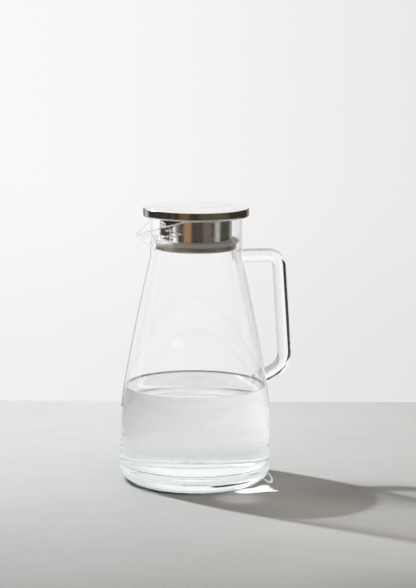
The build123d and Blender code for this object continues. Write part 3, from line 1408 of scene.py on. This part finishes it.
@dataclass
class Handle:
    """Bent glass rod, spread at both ends where it is fused to the wall, in millimetres."""

    corners: tuple[tuple[float, float], ...] = (
        (37.9, 203.5),
        (85.3, 202.1),
        (93.4, 99.3),
        (61.98, 85.6),
    )
    bends: tuple[float, float] = (12.0, 18.0)
    rod_radius: float = 6.25
    top_pad: float = 7.6
    top_pad_length: float = 8.0
    foot_pad: float = 9.2
    foot_pad_length: float = 11.0
    sink: float = 1.0
    top_search: float = 14.0
    foot_search: float = 20.0
    end_shares: tuple[float, ...] = (0.001, 0.3, 0.6, 0.85)
    around: int = 56
    along: int = 130
    line: np.ndarray = field(default_factory=lambda: np.zeros((0, 2)))
    reach: np.ndarray = field(default_factory=lambda: np.zeros(0))

    def trace(self) -> None:
        """Works out the rod's middle line and the distance along it."""
        corners = [np.array(corner) for corner in self.corners]
        points = [corners[0][None]]
        for index, rounding in enumerate(self.bends, start=1):
            here = corners[index]
            back = (corners[index - 1] - here) / np.linalg.norm(corners[index - 1] - here)
            ahead = (corners[index + 1] - here) / np.linalg.norm(corners[index + 1] - here)
            half = math.acos(float(back @ ahead)) / 2
            start = here + back * rounding / math.tan(half)
            end = here + ahead * rounding / math.tan(half)
            centre = here + (back + ahead) / np.linalg.norm(back + ahead) * rounding / math.sin(half)
            first = math.atan2(*(start - centre)[::-1])
            last = math.atan2(*(end - centre)[::-1])
            last = first + (last - first + math.pi) % (2 * math.pi) - math.pi
            points.append(arc(centre, rounding, first, last, 40))
        points.append(corners[-1][None])
        rough = np.concatenate(points)
        step = np.linalg.norm(np.diff(rough, axis=0), axis=1)
        length = np.concatenate([[0.0], np.cumsum(step)])
        self.reach = np.linspace(0.0, length[-1], 1201)
        self.line = np.stack([np.interp(self.reach, length, rough[:, axis]) for axis in (0, 1)], 1)

    def rod_points(self, reach: np.ndarray, turn: np.ndarray, share: float) -> np.ndarray:
        """Points on the rod.

        Args:
            reach: Distances along the middle line.
            turn: Angles round it.
            share: Part of the rod's radius, below 1 inside its ends.

        Returns:
            Points in the jug's frame.
        """
        x = np.interp(reach, self.reach, self.line[:, 0])
        z = np.interp(reach, self.reach, self.line[:, 1])
        way = np.gradient(self.line, self.reach, axis=0)
        way_x = np.interp(reach, self.reach, way[:, 0])
        way_z = np.interp(reach, self.reach, way[:, 1])
        size = np.hypot(way_x, way_z)
        from_top = np.clip(reach / self.top_pad_length, 0, 1)
        from_foot = np.clip((self.reach[-1] - reach) / self.foot_pad_length, 0, 1)
        flare = (self.top_pad - self.rod_radius) * (1 - from_top) ** 2 * (1 + 2 * from_top)
        flare += (self.foot_pad - self.rod_radius) * (1 - from_foot) ** 2 * (1 + 2 * from_foot)
        radius = (self.rod_radius + flare) * share
        level = radius * np.cos(turn)
        return np.stack([x - level * way_z / size, radius * np.sin(turn), z + level * way_x / size], -1)

    def meet(
        self,
        jug: JugBody,
        turn: np.ndarray,
        share: float,
        inside: float,
        outside: float,
    ) -> np.ndarray:
        """Where the rod's lines come out of the wall.

        Args:
            jug: The jug that the rod is fused to.
            turn: Angles round the rod.
            share: Part of the rod's radius.
            inside: Distance along the rod that lies inside the glass.
            outside: Distance along the rod that lies outside it.

        Returns:
            Distance along the rod for each angle.
        """
        low, high = np.full_like(turn, inside), np.full_like(turn, outside)
        for _ in range(30):
            middle = (low + high) / 2
            point = self.rod_points(middle, turn, share)
            out = np.hypot(point[:, 0], point[:, 1]) > jug.outer_radius(point[:, 2]) - self.sink
            high = np.where(out, middle, high)
            low = np.where(out, low, middle)
        return (low + high) / 2

    def end_rings(self, jug: JugBody, turn: np.ndarray, inside: float, outside: float) -> np.ndarray:
        """Rings that close one end of the rod within the wall.

        Args:
            jug: The jug that the rod is fused to.
            turn: Angles round the rod.
            inside: Distance along the rod that lies inside the glass.
            outside: Distance along the rod that lies outside it.

        Returns:
            Rings of points, from the middle of the end outwards.
        """
        rings = []
        for share in self.end_shares:
            reach = self.meet(jug, turn, share, inside, outside)
            rings.append(self.rod_points(reach, turn, share))
        return np.array(rings)

    def build(self, jug: JugBody, glass: bpy.types.Material) -> bpy.types.Object:
        """Builds the handle.

        Args:
            jug: The jug that it is fused to.
            glass: Its finish.

        Returns:
            The piece.
        """
        self.trace()
        turn = turns(self.around)
        last = float(self.reach[-1])
        head = self.end_rings(jug, turn, 0.0, self.top_search)
        tail = self.end_rings(jug, turn, last, last - self.foot_search)[::-1]
        first = self.meet(jug, turn, 1.0, 0.0, self.top_search)
        final = self.meet(jug, turn, 1.0, last, last - self.foot_search)
        share = np.linspace(0.0, 1.0, self.along)[:, None]
        every_turn = np.broadcast_to(turn, (self.along, len(turn)))
        middle = self.rod_points(first + (final - first) * share, every_turn, 1.0)
        rings = np.concatenate([head, middle, tail])
        maker = MeshMaker()
        maker.bridge(maker.add_points(rings), False)
        return maker.build("bent_rod", [glass], 50.0)


def fuse(body: bpy.types.Object, rod: bpy.types.Object) -> None:
    """Melts the rod's ends into the jug's wall, so that no face is left inside the glass.

    Args:
        body: The jug's body.
        rod: The handle, whose ends lie inside the wall.
    """
    union = body.modifiers.new("melt", "BOOLEAN")
    union.operation = "UNION"
    union.solver = "EXACT"
    union.material_mode = "TRANSFER"
    union.object = rod
    scene_graph = bpy.context.evaluated_depsgraph_get()
    melted = bpy.data.meshes.new_from_object(body.evaluated_get(scene_graph))
    body.modifiers.clear()
    rod_material = rod.data.materials[0].name
    rod_index = [material.name for material in melted.materials].index(rod_material)
    for piece, is_rod in ((body, False), (rod, True)):
        shape = bmesh.new()
        shape.from_mesh(melted)
        other = [face for face in shape.faces if (face.material_index == rod_index) is not is_rod]
        bmesh.ops.delete(shape, geom=other, context="FACES")
        if is_rod:
            for face in shape.faces:
                face.material_index = 0
        shape.to_mesh(piece.data)
        shape.free()
        piece.data.update()


# The lid


@dataclass
class Lid:
    """Steel cap, base plate, perforated sleeve and silicone seal, in millimetres."""

    radius: float = 47.65
    low: float = 242.3
    high: float = 250.0
    sheet: float = 0.8
    edge_rounding: float = 1.2
    top_rounding: float = 0.7
    hem_width: float = 2.6
    plate_gap: float = 0.1
    sleeve_radius: float = 32.6
    sleeve_low: float = 212.5
    flange_width: float = 4.0
    channel_radius: float = 36.2
    channel_top: float = 217.2
    channel_rounding: float = 1.6
    hole_radius: float = 1.08
    hole_pitch: float = 3.0
    hole_columns: int = 7
    hole_rows: int = 6
    first_hole: float = 223.8
    columns: int = 192
    turned_columns: int = 256
    seal_columns: int = 224
    cells: int = 4
    first_column: int = 82
    seal_top: float = 221.0
    seal_height: float = 7.7
    seal_lip: float = 39.2

    def cap(self, steel: bpy.types.Material) -> bpy.types.Object:
        """Builds the stamped disc with its hemmed rim.

        Args:
            steel: Its finish.

        Returns:
            The piece.
        """
        inner, hem = self.radius - self.sheet, self.radius - self.hem_width
        small = self.edge_rounding - self.sheet
        corners = (
            (0.0, self.high, 0.0),
            (self.radius, self.high, self.top_rounding),
            (self.radius, self.low, self.edge_rounding),
            (hem, self.low, 0.25),
            (hem, self.low + self.sheet, 0.25),
            (inner, self.low + self.sheet, small),
            (inner, self.high - self.sheet, 0.2),
            (0.0, self.high - self.sheet, 0.0),
        )
        return self.turned_piece("cap", rounded_outline(corners, False), steel, "lid_cap")

    def base_plate(self, steel: bpy.types.Material) -> bpy.types.Object:
        """Builds the stepped plate that closes the cap's underside.

        Args:
            steel: Its finish.

        Returns:
            The piece.
        """
        low, sheet = self.low, self.sheet
        edge = self.radius - sheet - (self.edge_rounding - sheet)
        step = self.radius - self.hem_width - self.plate_gap - sheet
        corners = (
            (0.0, low, 0.0),
            (step, low, 0.3),
            (step + sheet, low + sheet, 0.3),
            (edge, low + sheet, 0.2),
            (edge, low + 2 * sheet, 0.2),
            (step + 0.6 * sheet, low + 2 * sheet, 0.3),
            (step - 0.4 * sheet, low + sheet, 0.3),
            (0.0, low + sheet, 0.0),
        )
        return self.turned_piece("base_plate", rounded_outline(corners, False, 0.3), steel, "lid_base_plate")

    def turned_piece(
        self,
        name: str,
        outline: np.ndarray,
        finish: bpy.types.Material,
        node: str,
    ) -> bpy.types.Object:
        """Builds a turned piece of the lid whose outline starts and ends on the axis.

        Args:
            name: Name of the piece.
            outline: Radius, height and wear along the outline.
            finish: Its finish.
            node: The solid that it stands for.

        Returns:
            The piece.
        """
        angles = turns(self.turned_columns)
        rings = turned(outline, angles)
        wear = np.repeat(outline[:, 2, None], len(angles), 1)
        maker = MeshMaker()
        maker.bridge(maker.add_points(rings, wear), False)
        piece = maker.build(name, [finish])
        place(piece, Body.LID, Slot.STEEL, [node])
        return piece

    def sleeve_outline(self) -> np.ndarray:
        """Closed outline of the sleeve, with a ring at every quarter of a hole's cell.

        Returns:
            Rows of radius, height and wear.
        """
        inner, low, sheet = self.sleeve_radius - self.sheet, self.sleeve_low, self.sheet
        corners = (
            (inner - self.flange_width, self.low, 0.2),
            (self.sleeve_radius, self.low, 0.2),
            (self.sleeve_radius, low + sheet, 0.3),
            (self.channel_radius - sheet, low + sheet, self.channel_rounding - sheet),
            (self.channel_radius - sheet, self.channel_top, 0.32),
            (self.channel_radius, self.channel_top, 0.32),
            (self.channel_radius, low, self.channel_rounding),
            (inner, low, 0.64),
            (inner, self.low - sheet, 0.3),
            (inner - self.flange_width, self.low - sheet, 0.2),
        )
        outline = rounded_outline(corners, True, 0.5)
        start = self.first_hole - self.hole_pitch / 2
        steps = self.hole_rows * self.cells
        heights = start + np.arange(steps + 1) * self.hole_pitch / self.cells
        for radius, run in ((self.sleeve_radius, heights[::-1]), (inner, heights)):
            near = np.flatnonzero(np.abs(outline[:, 0] - radius) < 0.01)
            row = [i for i in near if (outline[i, 1] > run[0]) == (run[0] > run[-1])]
            at = (max(row) if run[0] > run[-1] else max(i for i in row if outline[i, 1] < run[0])) + 1
            extra = np.stack([np.full(len(run), radius), run, np.zeros(len(run))], 1)
            outline = np.insert(outline, at, extra, axis=0)
        return outline

    def sleeve(
        self,
        steel: bpy.types.Material,
        inside: bpy.types.Material,
        channel: bpy.types.Material,
    ) -> bpy.types.Object:
        """Builds the perforated sleeve.

        Args:
            steel: Its finish.
            inside: A dark, rough finish of its bore and of the holes' walls, painted shade that stands in for
                the shade inside the sleeve.
            channel: A darker finish of the channel rolled from its lower end, painted shade that stands in
                for the shade there.

        Returns:
            The piece.
        """
        outline = self.sleeve_outline()
        angles = turns(self.columns)
        maker = MeshMaker()
        wear = np.repeat(outline[:, 2, None], len(angles), 1)
        numbers = maker.add_points(turned(outline, angles), wear)
        inner = self.sleeve_radius - self.sheet
        start = self.first_hole - self.hole_pitch / 2
        shells = []
        for radius, way in ((self.sleeve_radius, -1), (inner, 1)):
            wanted = start if way > 0 else start + self.hole_rows * self.hole_pitch
            gap = np.abs(outline[:, 0] - radius) + np.abs(outline[:, 1] - wanted)
            shells.append((int(np.argmin(gap)), way, radius))
        left_out: set[tuple[int, int]] = set()
        for row, _, _ in shells:
            for step in range(self.hole_rows * self.cells):
                for column in range(self.hole_columns * self.cells):
                    left_out.add((row + step, self.first_column + column))
        beside = np.roll(outline, -1, axis=0)
        # The bore takes painted shade, a dark finish for the shade inside the sleeve.
        within = (outline[:, 0] < inner + 0.1) & (beside[:, 0] < inner + 0.1)
        within &= outline[:, 1] < self.low - self.sheet + 0.1
        # The channel takes painted shade, a darker copy of the steel.
        rolled = np.minimum(outline[:, 0], beside[:, 0]) > self.sleeve_radius + 0.05
        finish = np.where(within, 1, np.where(rolled, 2, 0))
        maker.bridge(numbers, True, lambda row: int(finish[row]), frozenset(left_out))
        for column in range(self.hole_columns):
            for row in range(self.hole_rows):
                edges = [self.hole_edge(maker, numbers, shell, column, row) for shell in shells]
                for step in range(len(edges[0])):
                    after = (step + 1) % len(edges[0])
                    # The holes' walls take the same painted shade.
                    maker.add_face((edges[0][step], edges[0][after], edges[1][after], edges[1][step]), 1)
        piece = maker.build("perforated_sleeve", [steel, inside, channel])
        place(piece, Body.LID, Slot.STEEL, ["strainer_sleeve"])
        return piece

    def hole_edge(
        self,
        maker: MeshMaker,
        numbers: np.ndarray,
        shell: tuple[int, int, float],
        column: int,
        row: int,
    ) -> np.ndarray:
        """Fills one cell of a shell round its hole.

        Args:
            maker: The mesh that is being made.
            numbers: The sleeve's point numbers.
            shell: First row of the cells, direction of the rows and radius.
            column: Number of the hole's column.
            row: Number of the hole's row, from below.

        Returns:
            Point numbers round the hole's edge.
        """
        first, way, radius = shell
        cells, half = self.cells, self.cells / 2
        path = [(0, i) for i in range(cells)] + [(i, cells) for i in range(cells)]
        path += [(cells, cells - i) for i in range(cells)] + [(cells - i, 0) for i in range(cells)]
        centre_turn = 2 * math.pi * (self.first_column + column * cells + half) / self.columns
        centre_height = self.first_hole + row * self.hole_pitch
        border, circle = [], []
        for up, across in path:
            step = row * cells + up
            ring = first + step if way > 0 else first + self.hole_rows * cells - step
            border.append(numbers[ring, self.first_column + column * cells + across])
            turn = math.atan2(up - half, across - half)
            angle = centre_turn + self.hole_radius * math.cos(turn) / radius
            height = centre_height + self.hole_radius * math.sin(turn)
            circle.append((radius * math.cos(angle), radius * math.sin(angle), height))
        edge = maker.add_points(np.array(circle), np.full(len(circle), 0.8))
        for step in range(len(path)):
            after = (step + 1) % len(path)
            # Faces on the inner shell take the bore's painted shade.
            maker.add_face((border[step], border[after], edge[after], edge[step]), 1 if way > 0 else 0)
        return edge

    def seal(self, silicone: bpy.types.Material) -> bpy.types.Object:
        """Builds the seal with its foot, collar and flared lip.

        Args:
            silicone: Its finish.

        Returns:
            The piece.
        """
        bore, foot = self.sleeve_radius + 0.1, self.channel_radius - self.sheet - 0.2
        shoulder, collar, top = self.channel_top + 0.2, bore + 1.4, self.seal_top
        corners = (
            (bore, top - self.seal_height + 0.2, 0.2),
            (foot, top - self.seal_height + 0.2, 0.8),
            (foot, shoulder, 0.1),
            (self.channel_radius, shoulder, 0.3),
            (self.seal_lip, top - 0.7, 0.3),
            (self.seal_lip, top, 0.25),
            (self.seal_lip - 1.3, top, 0.3),
            (collar + 0.8, top - 2.6, 0.3),
            (collar, top - 2.6, 0.3),
            (collar, top, 0.3),
            (bore, top, 0.3),
        )
        outline = rounded_outline(corners, True, 0.3)
        rings = turned(outline, turns(self.seal_columns))
        maker = MeshMaker()
        wear = np.repeat(outline[:, 2, None], self.seal_columns, 1)
        maker.bridge(maker.add_points(rings, wear), True)
        piece = maker.build("seal", [silicone])
        place(piece, Body.SEAL, Slot.SILICONE, ["seal_ring"])
        return piece


# The studio


@dataclass(frozen=True)
class Strip:
    """An upright part of the room, such as a window or a shelf, in degrees round the jug."""

    middle: float
    half_width: float
    tone: Colour
    soft: float = 8.0

    def stops(self, beside: Colour) -> list[tuple[float, Colour]]:
        """Its share of a colour ramp that runs once round the room.

        Args:
            beside: Colour of the room on both sides.

        Returns:
            Places from 0 to 1 and their colours.
        """
        reach = self.half_width + self.soft
        places = (-reach, -self.half_width, self.half_width, reach)
        tones = (beside, self.tone, self.tone, beside)
        shares = [(self.middle + aside + 180) / 360 for aside in places]
        return [(min(1.0, max(0.0, share)), tone) for share, tone in zip(shares, tones)]


def room_stops(strips: Sequence[Strip], beside: Colour) -> list[tuple[float, Colour]]:
    """A ramp once round a room of one colour with a few strips in it.

    Args:
        strips: The strips, which don't overlap.
        beside: Colour of the rest of the room.

    Returns:
        Places from 0 to 1 and their colours.
    """
    return [stop for strip in strips for stop in strip.stops(beside)]


@dataclass(frozen=True)
class Patch:
    """A bright or dark area of the room, in degrees round the jug and in height of direction."""

    middle: float
    half_width: float
    low: float
    high: float
    tone: Colour
    soft: float = 5.0
    soft_edge: float = 0.04

    def share(
        self,
        graph: Graph,
        degrees: bpy.types.NodeSocket,
        up: bpy.types.NodeSocket,
    ) -> bpy.types.NodeSocket:
        """How much the area covers a direction.

        Args:
            graph: The graph of the surroundings.
            degrees: Angle of the direction from the camera's own, positive to the right.
            up: How far the direction points up.

        Returns:
            A number from 0 to 1.
        """
        aside = graph.math("ABSOLUTE", graph.math("SUBTRACT", degrees, self.middle))
        side, edge = self.soft / 2, self.soft_edge / 2
        across = graph.remap(aside, self.half_width - side, self.half_width + side, 1.0, 0.0)
        above = graph.remap(up, self.low - edge, self.low + edge, 0.0, 1.0)
        below = graph.remap(up, self.high - edge, self.high + edge, 1.0, 0.0)
        return graph.math("MULTIPLY", across, graph.math("MULTIPLY", above, below))


@dataclass
class Studio:
    """Table, light, surroundings and camera, in metres and degrees.

    Bare steel, steel behind glass and the glass itself each show a room of their own. The rays are
    told apart by how often they were mirrored and how many glass faces they crossed. For steel
    behind glass that number is shielded_faces. The other limits lie halfway between two numbers.
    """

    heading: float = 27.0
    aim_right: float = 0.33
    distance: float = 1.9194
    camera_height: float = 0.4739
    pitch: float = 8.968
    roll: float = 0.32
    lens: float = 131.63
    table_back: float = 0.345
    table_front: float = 1.0
    table_half_width: float = 1.3
    table_thickness: float = 0.03
    table_rounding: float = 0.002
    lamp_width: float = 0.06
    lamp_power: float = 19.5
    lamp_colour: Colour = (0.93, 0.975, 1.03)
    ambient: Colour = (0.33, 0.3, 0.265)
    wall_low: tuple[Colour, Colour] = ((0.87, 0.87, 0.87), (0.77, 0.77, 0.77))
    wall_high: tuple[Colour, Colour] = ((0.94, 0.94, 0.94), (0.82, 0.82, 0.82))
    through_gain: float = 0.11
    glow: float = 1.02
    ceiling: Colour = (0.85, 0.85, 0.85)
    shielded_faces: float = 4.0
    shielded_below: float = 0.04
    front_half_angle: float = 100.0
    bare_faces: float = 0.5
    bare_faces_in_front: float = 2.5
    curtained_faces: float = 2.5
    edge_on_late: float = 10.0
    window: Patch = Patch(-131, 22, 0.3, 0.75, (2.0, 2.05, 2.15), 12.0, 0.1)
    dark_room: Colour = (0.05, 0.04, 0.03)
    pale_room: Colour = (0.6, 0.6, 0.58)
    open_view: tuple[Strip, ...] = (
        Strip(-140, 8, (0.6, 0.6, 0.65)),
        Strip(-25, 7, (0.2, 0.11, 0.06)),
        Strip(40, 28, (0.11, 0.09, 0.06), 12.0),
        Strip(155, 4, (0.35, 0.3, 0.3)),
    )
    shielded_view: tuple[Strip, ...] = (
        Strip(-165, 12, (0.9, 0.9, 0.95)),
        Strip(-76, 5, (1.2, 1.2, 1.2), 12.0),
        Strip(-27, 8, (0.45, 0.25, 0.12)),
        Strip(36, 8, (0.17, 0.13, 0.1), 10.0),
        Strip(71, 3, (0.6, 0.6, 0.55), 12.0),
        Strip(160, 18, (0.4, 0.4, 0.4), 20.0),
    )
    pale_view: tuple[Strip, ...] = (
        Strip(-145, 33, (1.0, 1.0, 1.0), 25.0),
        Strip(150, 18, (0.75, 0.75, 0.75), 40.0),
    )
    curtains: tuple[Patch, ...] = (
        Patch(-141, 19, -0.36, 0.02, (0.015, 0.018, 0.032), 3.0, 0.05),
        Patch(-158, 13, 0.14, 0.5, (0.03, 0.03, 0.035), 5.0, 0.05),
    )

    def ways(self) -> tuple[Vector, Vector]:
        """Level directions away from the camera and to its right."""
        turn = math.radians(self.heading)
        return Vector((math.sin(turn), math.cos(turn), 0)), Vector((math.cos(turn), -math.sin(turn), 0))

    def camera(self) -> None:
        """Places the camera at the photograph's angle."""
        away, _ = self.ways()
        data = bpy.data.cameras.new("camera")
        data.lens = self.lens
        data.sensor_width = 36.0
        data.clip_start = 0.05
        data.clip_end = 20.0
        eye = bpy.data.objects.new("camera", data)
        bpy.context.scene.collection.objects.link(eye)
        turn = math.radians(self.heading + self.aim_right)
        dip = math.radians(self.pitch)
        look = Vector((math.sin(turn) * math.cos(dip), math.cos(turn) * math.cos(dip), -math.sin(dip)))
        facing = look.to_track_quat("-Z", "Y").to_matrix().to_4x4()
        spin = Matrix.Rotation(math.radians(self.roll), 4, "Z")
        place_at = Matrix.Translation(-away * self.distance + Vector((0, 0, self.camera_height)))
        eye.matrix_world = place_at @ facing @ spin
        bpy.context.scene.camera = eye

    def table(self, finish: TableFinish) -> bpy.types.Object:
        """Builds the table top with softly rounded edges.

        Args:
            finish: Its finish.

        Returns:
            The table.
        """
        half, front, back = self.table_half_width, -self.table_front, self.table_back
        shape = bmesh.new()
        corners = [(-half, front), (half, front), (half, back), (-half, back)]
        top = [shape.verts.new((x, y, 0.0)) for x, y in corners]
        under = [shape.verts.new((x, y, -self.table_thickness)) for x, y in corners]
        shape.faces.new(top)
        shape.faces.new(under[::-1])
        for index in range(4):
            after = (index + 1) % 4
            shape.faces.new((under[index], under[after], top[after], top[index]))
        edges = list(shape.edges)
        bmesh.ops.bevel(
            shape,
            geom=edges,
            offset=self.table_rounding,
            segments=3,
            profile=0.5,
            affect="EDGES",
        )
        shape.transform(Matrix.Rotation(-math.radians(self.heading), 4, "Z"))
        mesh = bpy.data.meshes.new("table")
        shape.to_mesh(mesh)
        shape.free()
        mesh.materials.append(finish.material(math.radians(self.heading)))
        mesh.polygons.foreach_set("use_smooth", [True] * len(mesh.polygons))
        mesh.set_sharp_from_angle(angle=math.radians(30))
        table = bpy.data.objects.new("table", mesh)
        bpy.context.scene.collection.objects.link(table)
        LOG.info("table: stage")
        return table

    def lamp(self) -> None:
        """Places the key light, low behind the jug on the left."""
        data = bpy.data.lights.new("window_light", "AREA")
        data.shape = "DISK"
        data.size = self.lamp_width
        data.energy = self.lamp_power
        data.color = self.lamp_colour
        data.cycles.use_multiple_importance_sampling = False
        lamp = bpy.data.objects.new("window_light", data)
        bpy.context.scene.collection.objects.link(lamp)
        away, right = self.ways()
        spot = right * LAMP_PLACE[0] + away * LAMP_PLACE[1] + Vector((0, 0, LAMP_PLACE[2]))
        lamp.location = spot
        lamp.rotation_mode = "QUATERNION"
        lamp.rotation_quaternion = spot.to_track_quat("Z", "Y")

    def surroundings(self) -> None:
        """Lights the scene evenly, and gives mirrors and glass a room to show."""
        world = bpy.data.worlds.new("room")
        bpy.context.scene.world = world
        world.use_nodes = True
        graph = Graph(world.node_tree)
        background = world.node_tree.nodes["Background"]
        output = world.node_tree.nodes["World Output"]
        way = graph.add("ShaderNodeTexCoord").outputs["Generated"]
        aligned = graph.add("ShaderNodeVectorRotate", rotation_type="Z_AXIS")
        graph.feed(aligned.inputs["Vector"], way)
        aligned.inputs["Angle"].default_value = math.radians(self.heading)
        parts = graph.add("ShaderNodeSeparateXYZ")
        graph.feed(parts.inputs[0], aligned.outputs[0])
        right, away, up = parts.outputs
        turn = graph.math("ARCTAN2", right, graph.math("MULTIPLY", away, -1.0))
        seen = self.wall_tone(graph, right, up)
        path = graph.add("ShaderNodeLightPath").outputs
        gain = graph.math("MULTIPLY_ADD", path["Is Transmission Ray"], self.through_gain, 1.0)
        wall = graph.blend(1.0, seen, graph.combine(gain, gain, gain), "MULTIPLY")
        wall = graph.blend(graph.remap(up, 0.0, 0.06, 0.0, 1.0), wall, (self.glow,) * 3)
        room = self.room(graph, turn, up, wall)
        direct = graph.math("MAXIMUM", path["Is Glossy Ray"], path["Is Transmission Ray"])
        colour = graph.blend(direct, self.ambient, room)
        colour = graph.blend(path["Is Camera Ray"], colour, seen)
        graph.feed(background.inputs["Color"], colour)
        background.inputs["Strength"].default_value = 1.0
        graph.feed(output.inputs["Surface"], background.outputs[0])

    def room(
        self,
        graph: Graph,
        turn: bpy.types.NodeSocket,
        up: bpy.types.NodeSocket,
        wall: bpy.types.NodeSocket,
    ) -> bpy.types.NodeSocket:
        """The room that steel and glass show.

        Args:
            graph: The graph of the surroundings.
            turn: Angle of a direction from the camera's own, in radians, positive to the right.
            up: How far the direction points up.
            wall: Colour of the white wall behind the table.

        Returns:
            The room's colour.
        """
        share = graph.math("MULTIPLY_ADD", turn, 1 / (2 * math.pi), 0.5)
        degrees = graph.math("MULTIPLY", turn, 180 / math.pi)
        path = graph.add("ShaderNodeLightPath").outputs
        mirrored = graph.math("COMPARE", path["Glossy Depth"], 1.0, 0.5)
        crossed = path["Transmission Depth"]
        walled = graph.ramp(share, self.wall_stops())
        pale_sides = graph.ramp(share, room_stops(self.pale_view, self.pale_room))
        room = graph.blend(walled, pale_sides, wall)
        unmirrored = graph.math("LESS_THAN", path["Glossy Depth"], 0.5)
        curtained = graph.math("LESS_THAN", crossed, self.curtained_faces)
        curtained = graph.math("MULTIPLY", curtained, unmirrored)
        for curtain in self.curtains:
            covered = graph.math("MULTIPLY", curtain.share(graph, degrees, up), curtained)
            room = graph.blend(covered, room, curtain.tone)
        walled_late = graph.ramp(share, self.wall_stops(self.edge_on_late))
        open_sides = graph.ramp(share, room_stops(self.open_view, self.dark_room))
        in_front = graph.math("COMPARE", degrees, 0.0, self.front_half_angle)
        more_faces = self.bare_faces_in_front - self.bare_faces
        faces = graph.math("MULTIPLY_ADD", in_front, more_faces, self.bare_faces)
        is_bare = graph.math("MULTIPLY", mirrored, graph.math("LESS_THAN", crossed, faces))
        room = graph.blend(is_bare, room, graph.blend(walled_late, open_sides, wall))
        shielded_sides = graph.ramp(share, room_stops(self.shielded_view, self.dark_room))
        is_shielded = graph.math("COMPARE", crossed, self.shielded_faces, 0.5)
        is_shielded = graph.math("MULTIPLY", mirrored, is_shielded)
        is_low = graph.math("LESS_THAN", up, self.shielded_below)
        is_shielded = graph.math("MULTIPLY", is_shielded, is_low)
        room = graph.blend(is_shielded, room, graph.blend(walled, shielded_sides, wall))
        room = graph.blend(graph.remap(up, 0.4, 0.75, 0.0, 1.0), room, self.ceiling)
        return graph.blend(self.window.share(graph, degrees, up), room, self.window.tone)

    def wall_tone(
        self,
        graph: Graph,
        right: bpy.types.NodeSocket,
        up: bpy.types.NodeSocket,
    ) -> bpy.types.NodeSocket:
        """The white wall behind the table, lighter on the left and a little darker near the table.

        Args:
            graph: The graph of the surroundings.
            right: How far a direction points to the right.
            up: How far it points up.

        Returns:
            The wall's colour.
        """
        side = graph.remap(right, -0.085, 0.14, 0.0, 1.0)
        low, high = graph.blend(side, *self.wall_low), graph.blend(side, *self.wall_high)
        return graph.blend(graph.remap(up, -0.205, -0.1, 0.0, 1.0), low, high)

    def wall_stops(self, late: float = 0.0) -> list[tuple[float, Colour]]:
        """Where the white wall stands round the jug, as stops of a grey ramp.

        Args:
            late: Degrees by which the wall on the right begins later.

        Returns:
            Places from 0 to 1 and their greys.
        """
        tones = ((-180, 1.0), (-172, 1.0), (-162, 0.0), (148 + late, 0.0), (166 + late, 1.0), (180, 1.0))
        return [((angle + 180) / 360, (tone,) * 3) for angle, tone in tones]


def set_colour() -> None:
    """Shows colours as they are and gives the glass enough light bounces."""
    scene = bpy.context.scene
    scene.view_settings.view_transform = "Standard"
    scene.cycles.max_bounces = 24
    scene.cycles.transmission_bounces = 24
    scene.cycles.glossy_bounces = 8
    scene.cycles.transparent_max_bounces = 24


def main() -> None:
    """Builds the jug, its lid and the studio, in that order."""
    logging.basicConfig(level=logging.INFO, format="%(name)s %(message)s")
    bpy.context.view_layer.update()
    effects = SharedEffects()
    # The wet faces have water behind them, so they bend light by the ratio of glass to water.
    clear = GlassFinish("clear_glass").material(effects)
    wet = GlassFinish("wet_glass", bend=1.105, smudge=0.0, dust=0.0).material(effects)
    rod = GlassFinish(
        "rod_glass",
        tint=(0.965, 0.97, 0.97),
        waviness=0.0003,
        wave_size=70.0,
        light_passed=0.4,
        edge_light=0.1,
    ).material(effects)
    disc = SteelFinish("spun_steel", Grain.RINGS_ON_DISC, roughness=0.085).material(effects)
    tube = SteelFinish("drawn_steel", Grain.ROUND_THE_TUBE, roughness=0.07).material(effects)
    # Painted shade: a dark, rough copy of the steel for the sleeve's bore and holes, standing in for the
    # shade inside.
    bore = SteelFinish(
        "painted_shade_bore",
        Grain.ROUND_THE_TUBE,
        colour=(0.17, 0.16, 0.15),
        roughness=0.42,
        wear=0.3,
    ).material(effects)
    # Painted shade: a darker copy of the steel for the sleeve's channel, standing in for the shade there.
    rolled = SteelFinish(
        "painted_shade_channel",
        Grain.ROUND_THE_TUBE,
        colour=(0.42, 0.37, 0.32),
        roughness=0.28,
    ).material(effects)
    jug = JugBody()
    handle = Handle()
    body, rod_piece = jug.build(clear, wet), handle.build(jug, rod)
    fuse(body, rod_piece)
    place(body, Body.JUG, Slot.GLASS, ["glass_body"])
    place(rod_piece, Body.JUG, Slot.GLASS, ["handle"])
    Water().build(jug, WaterFinish().material(), WaterFinish("water_sides", sides=True).material())
    lid = Lid()
    lid.cap(disc)
    lid.base_plate(disc)
    lid.sleeve(tube, bore, rolled)
    lid.seal(SiliconeFinish().material(effects))
    studio = Studio()
    studio.camera()
    studio.table(TableFinish())
    studio.lamp()
    studio.surroundings()
    set_colour()


if __name__ == "__main__":
    main()
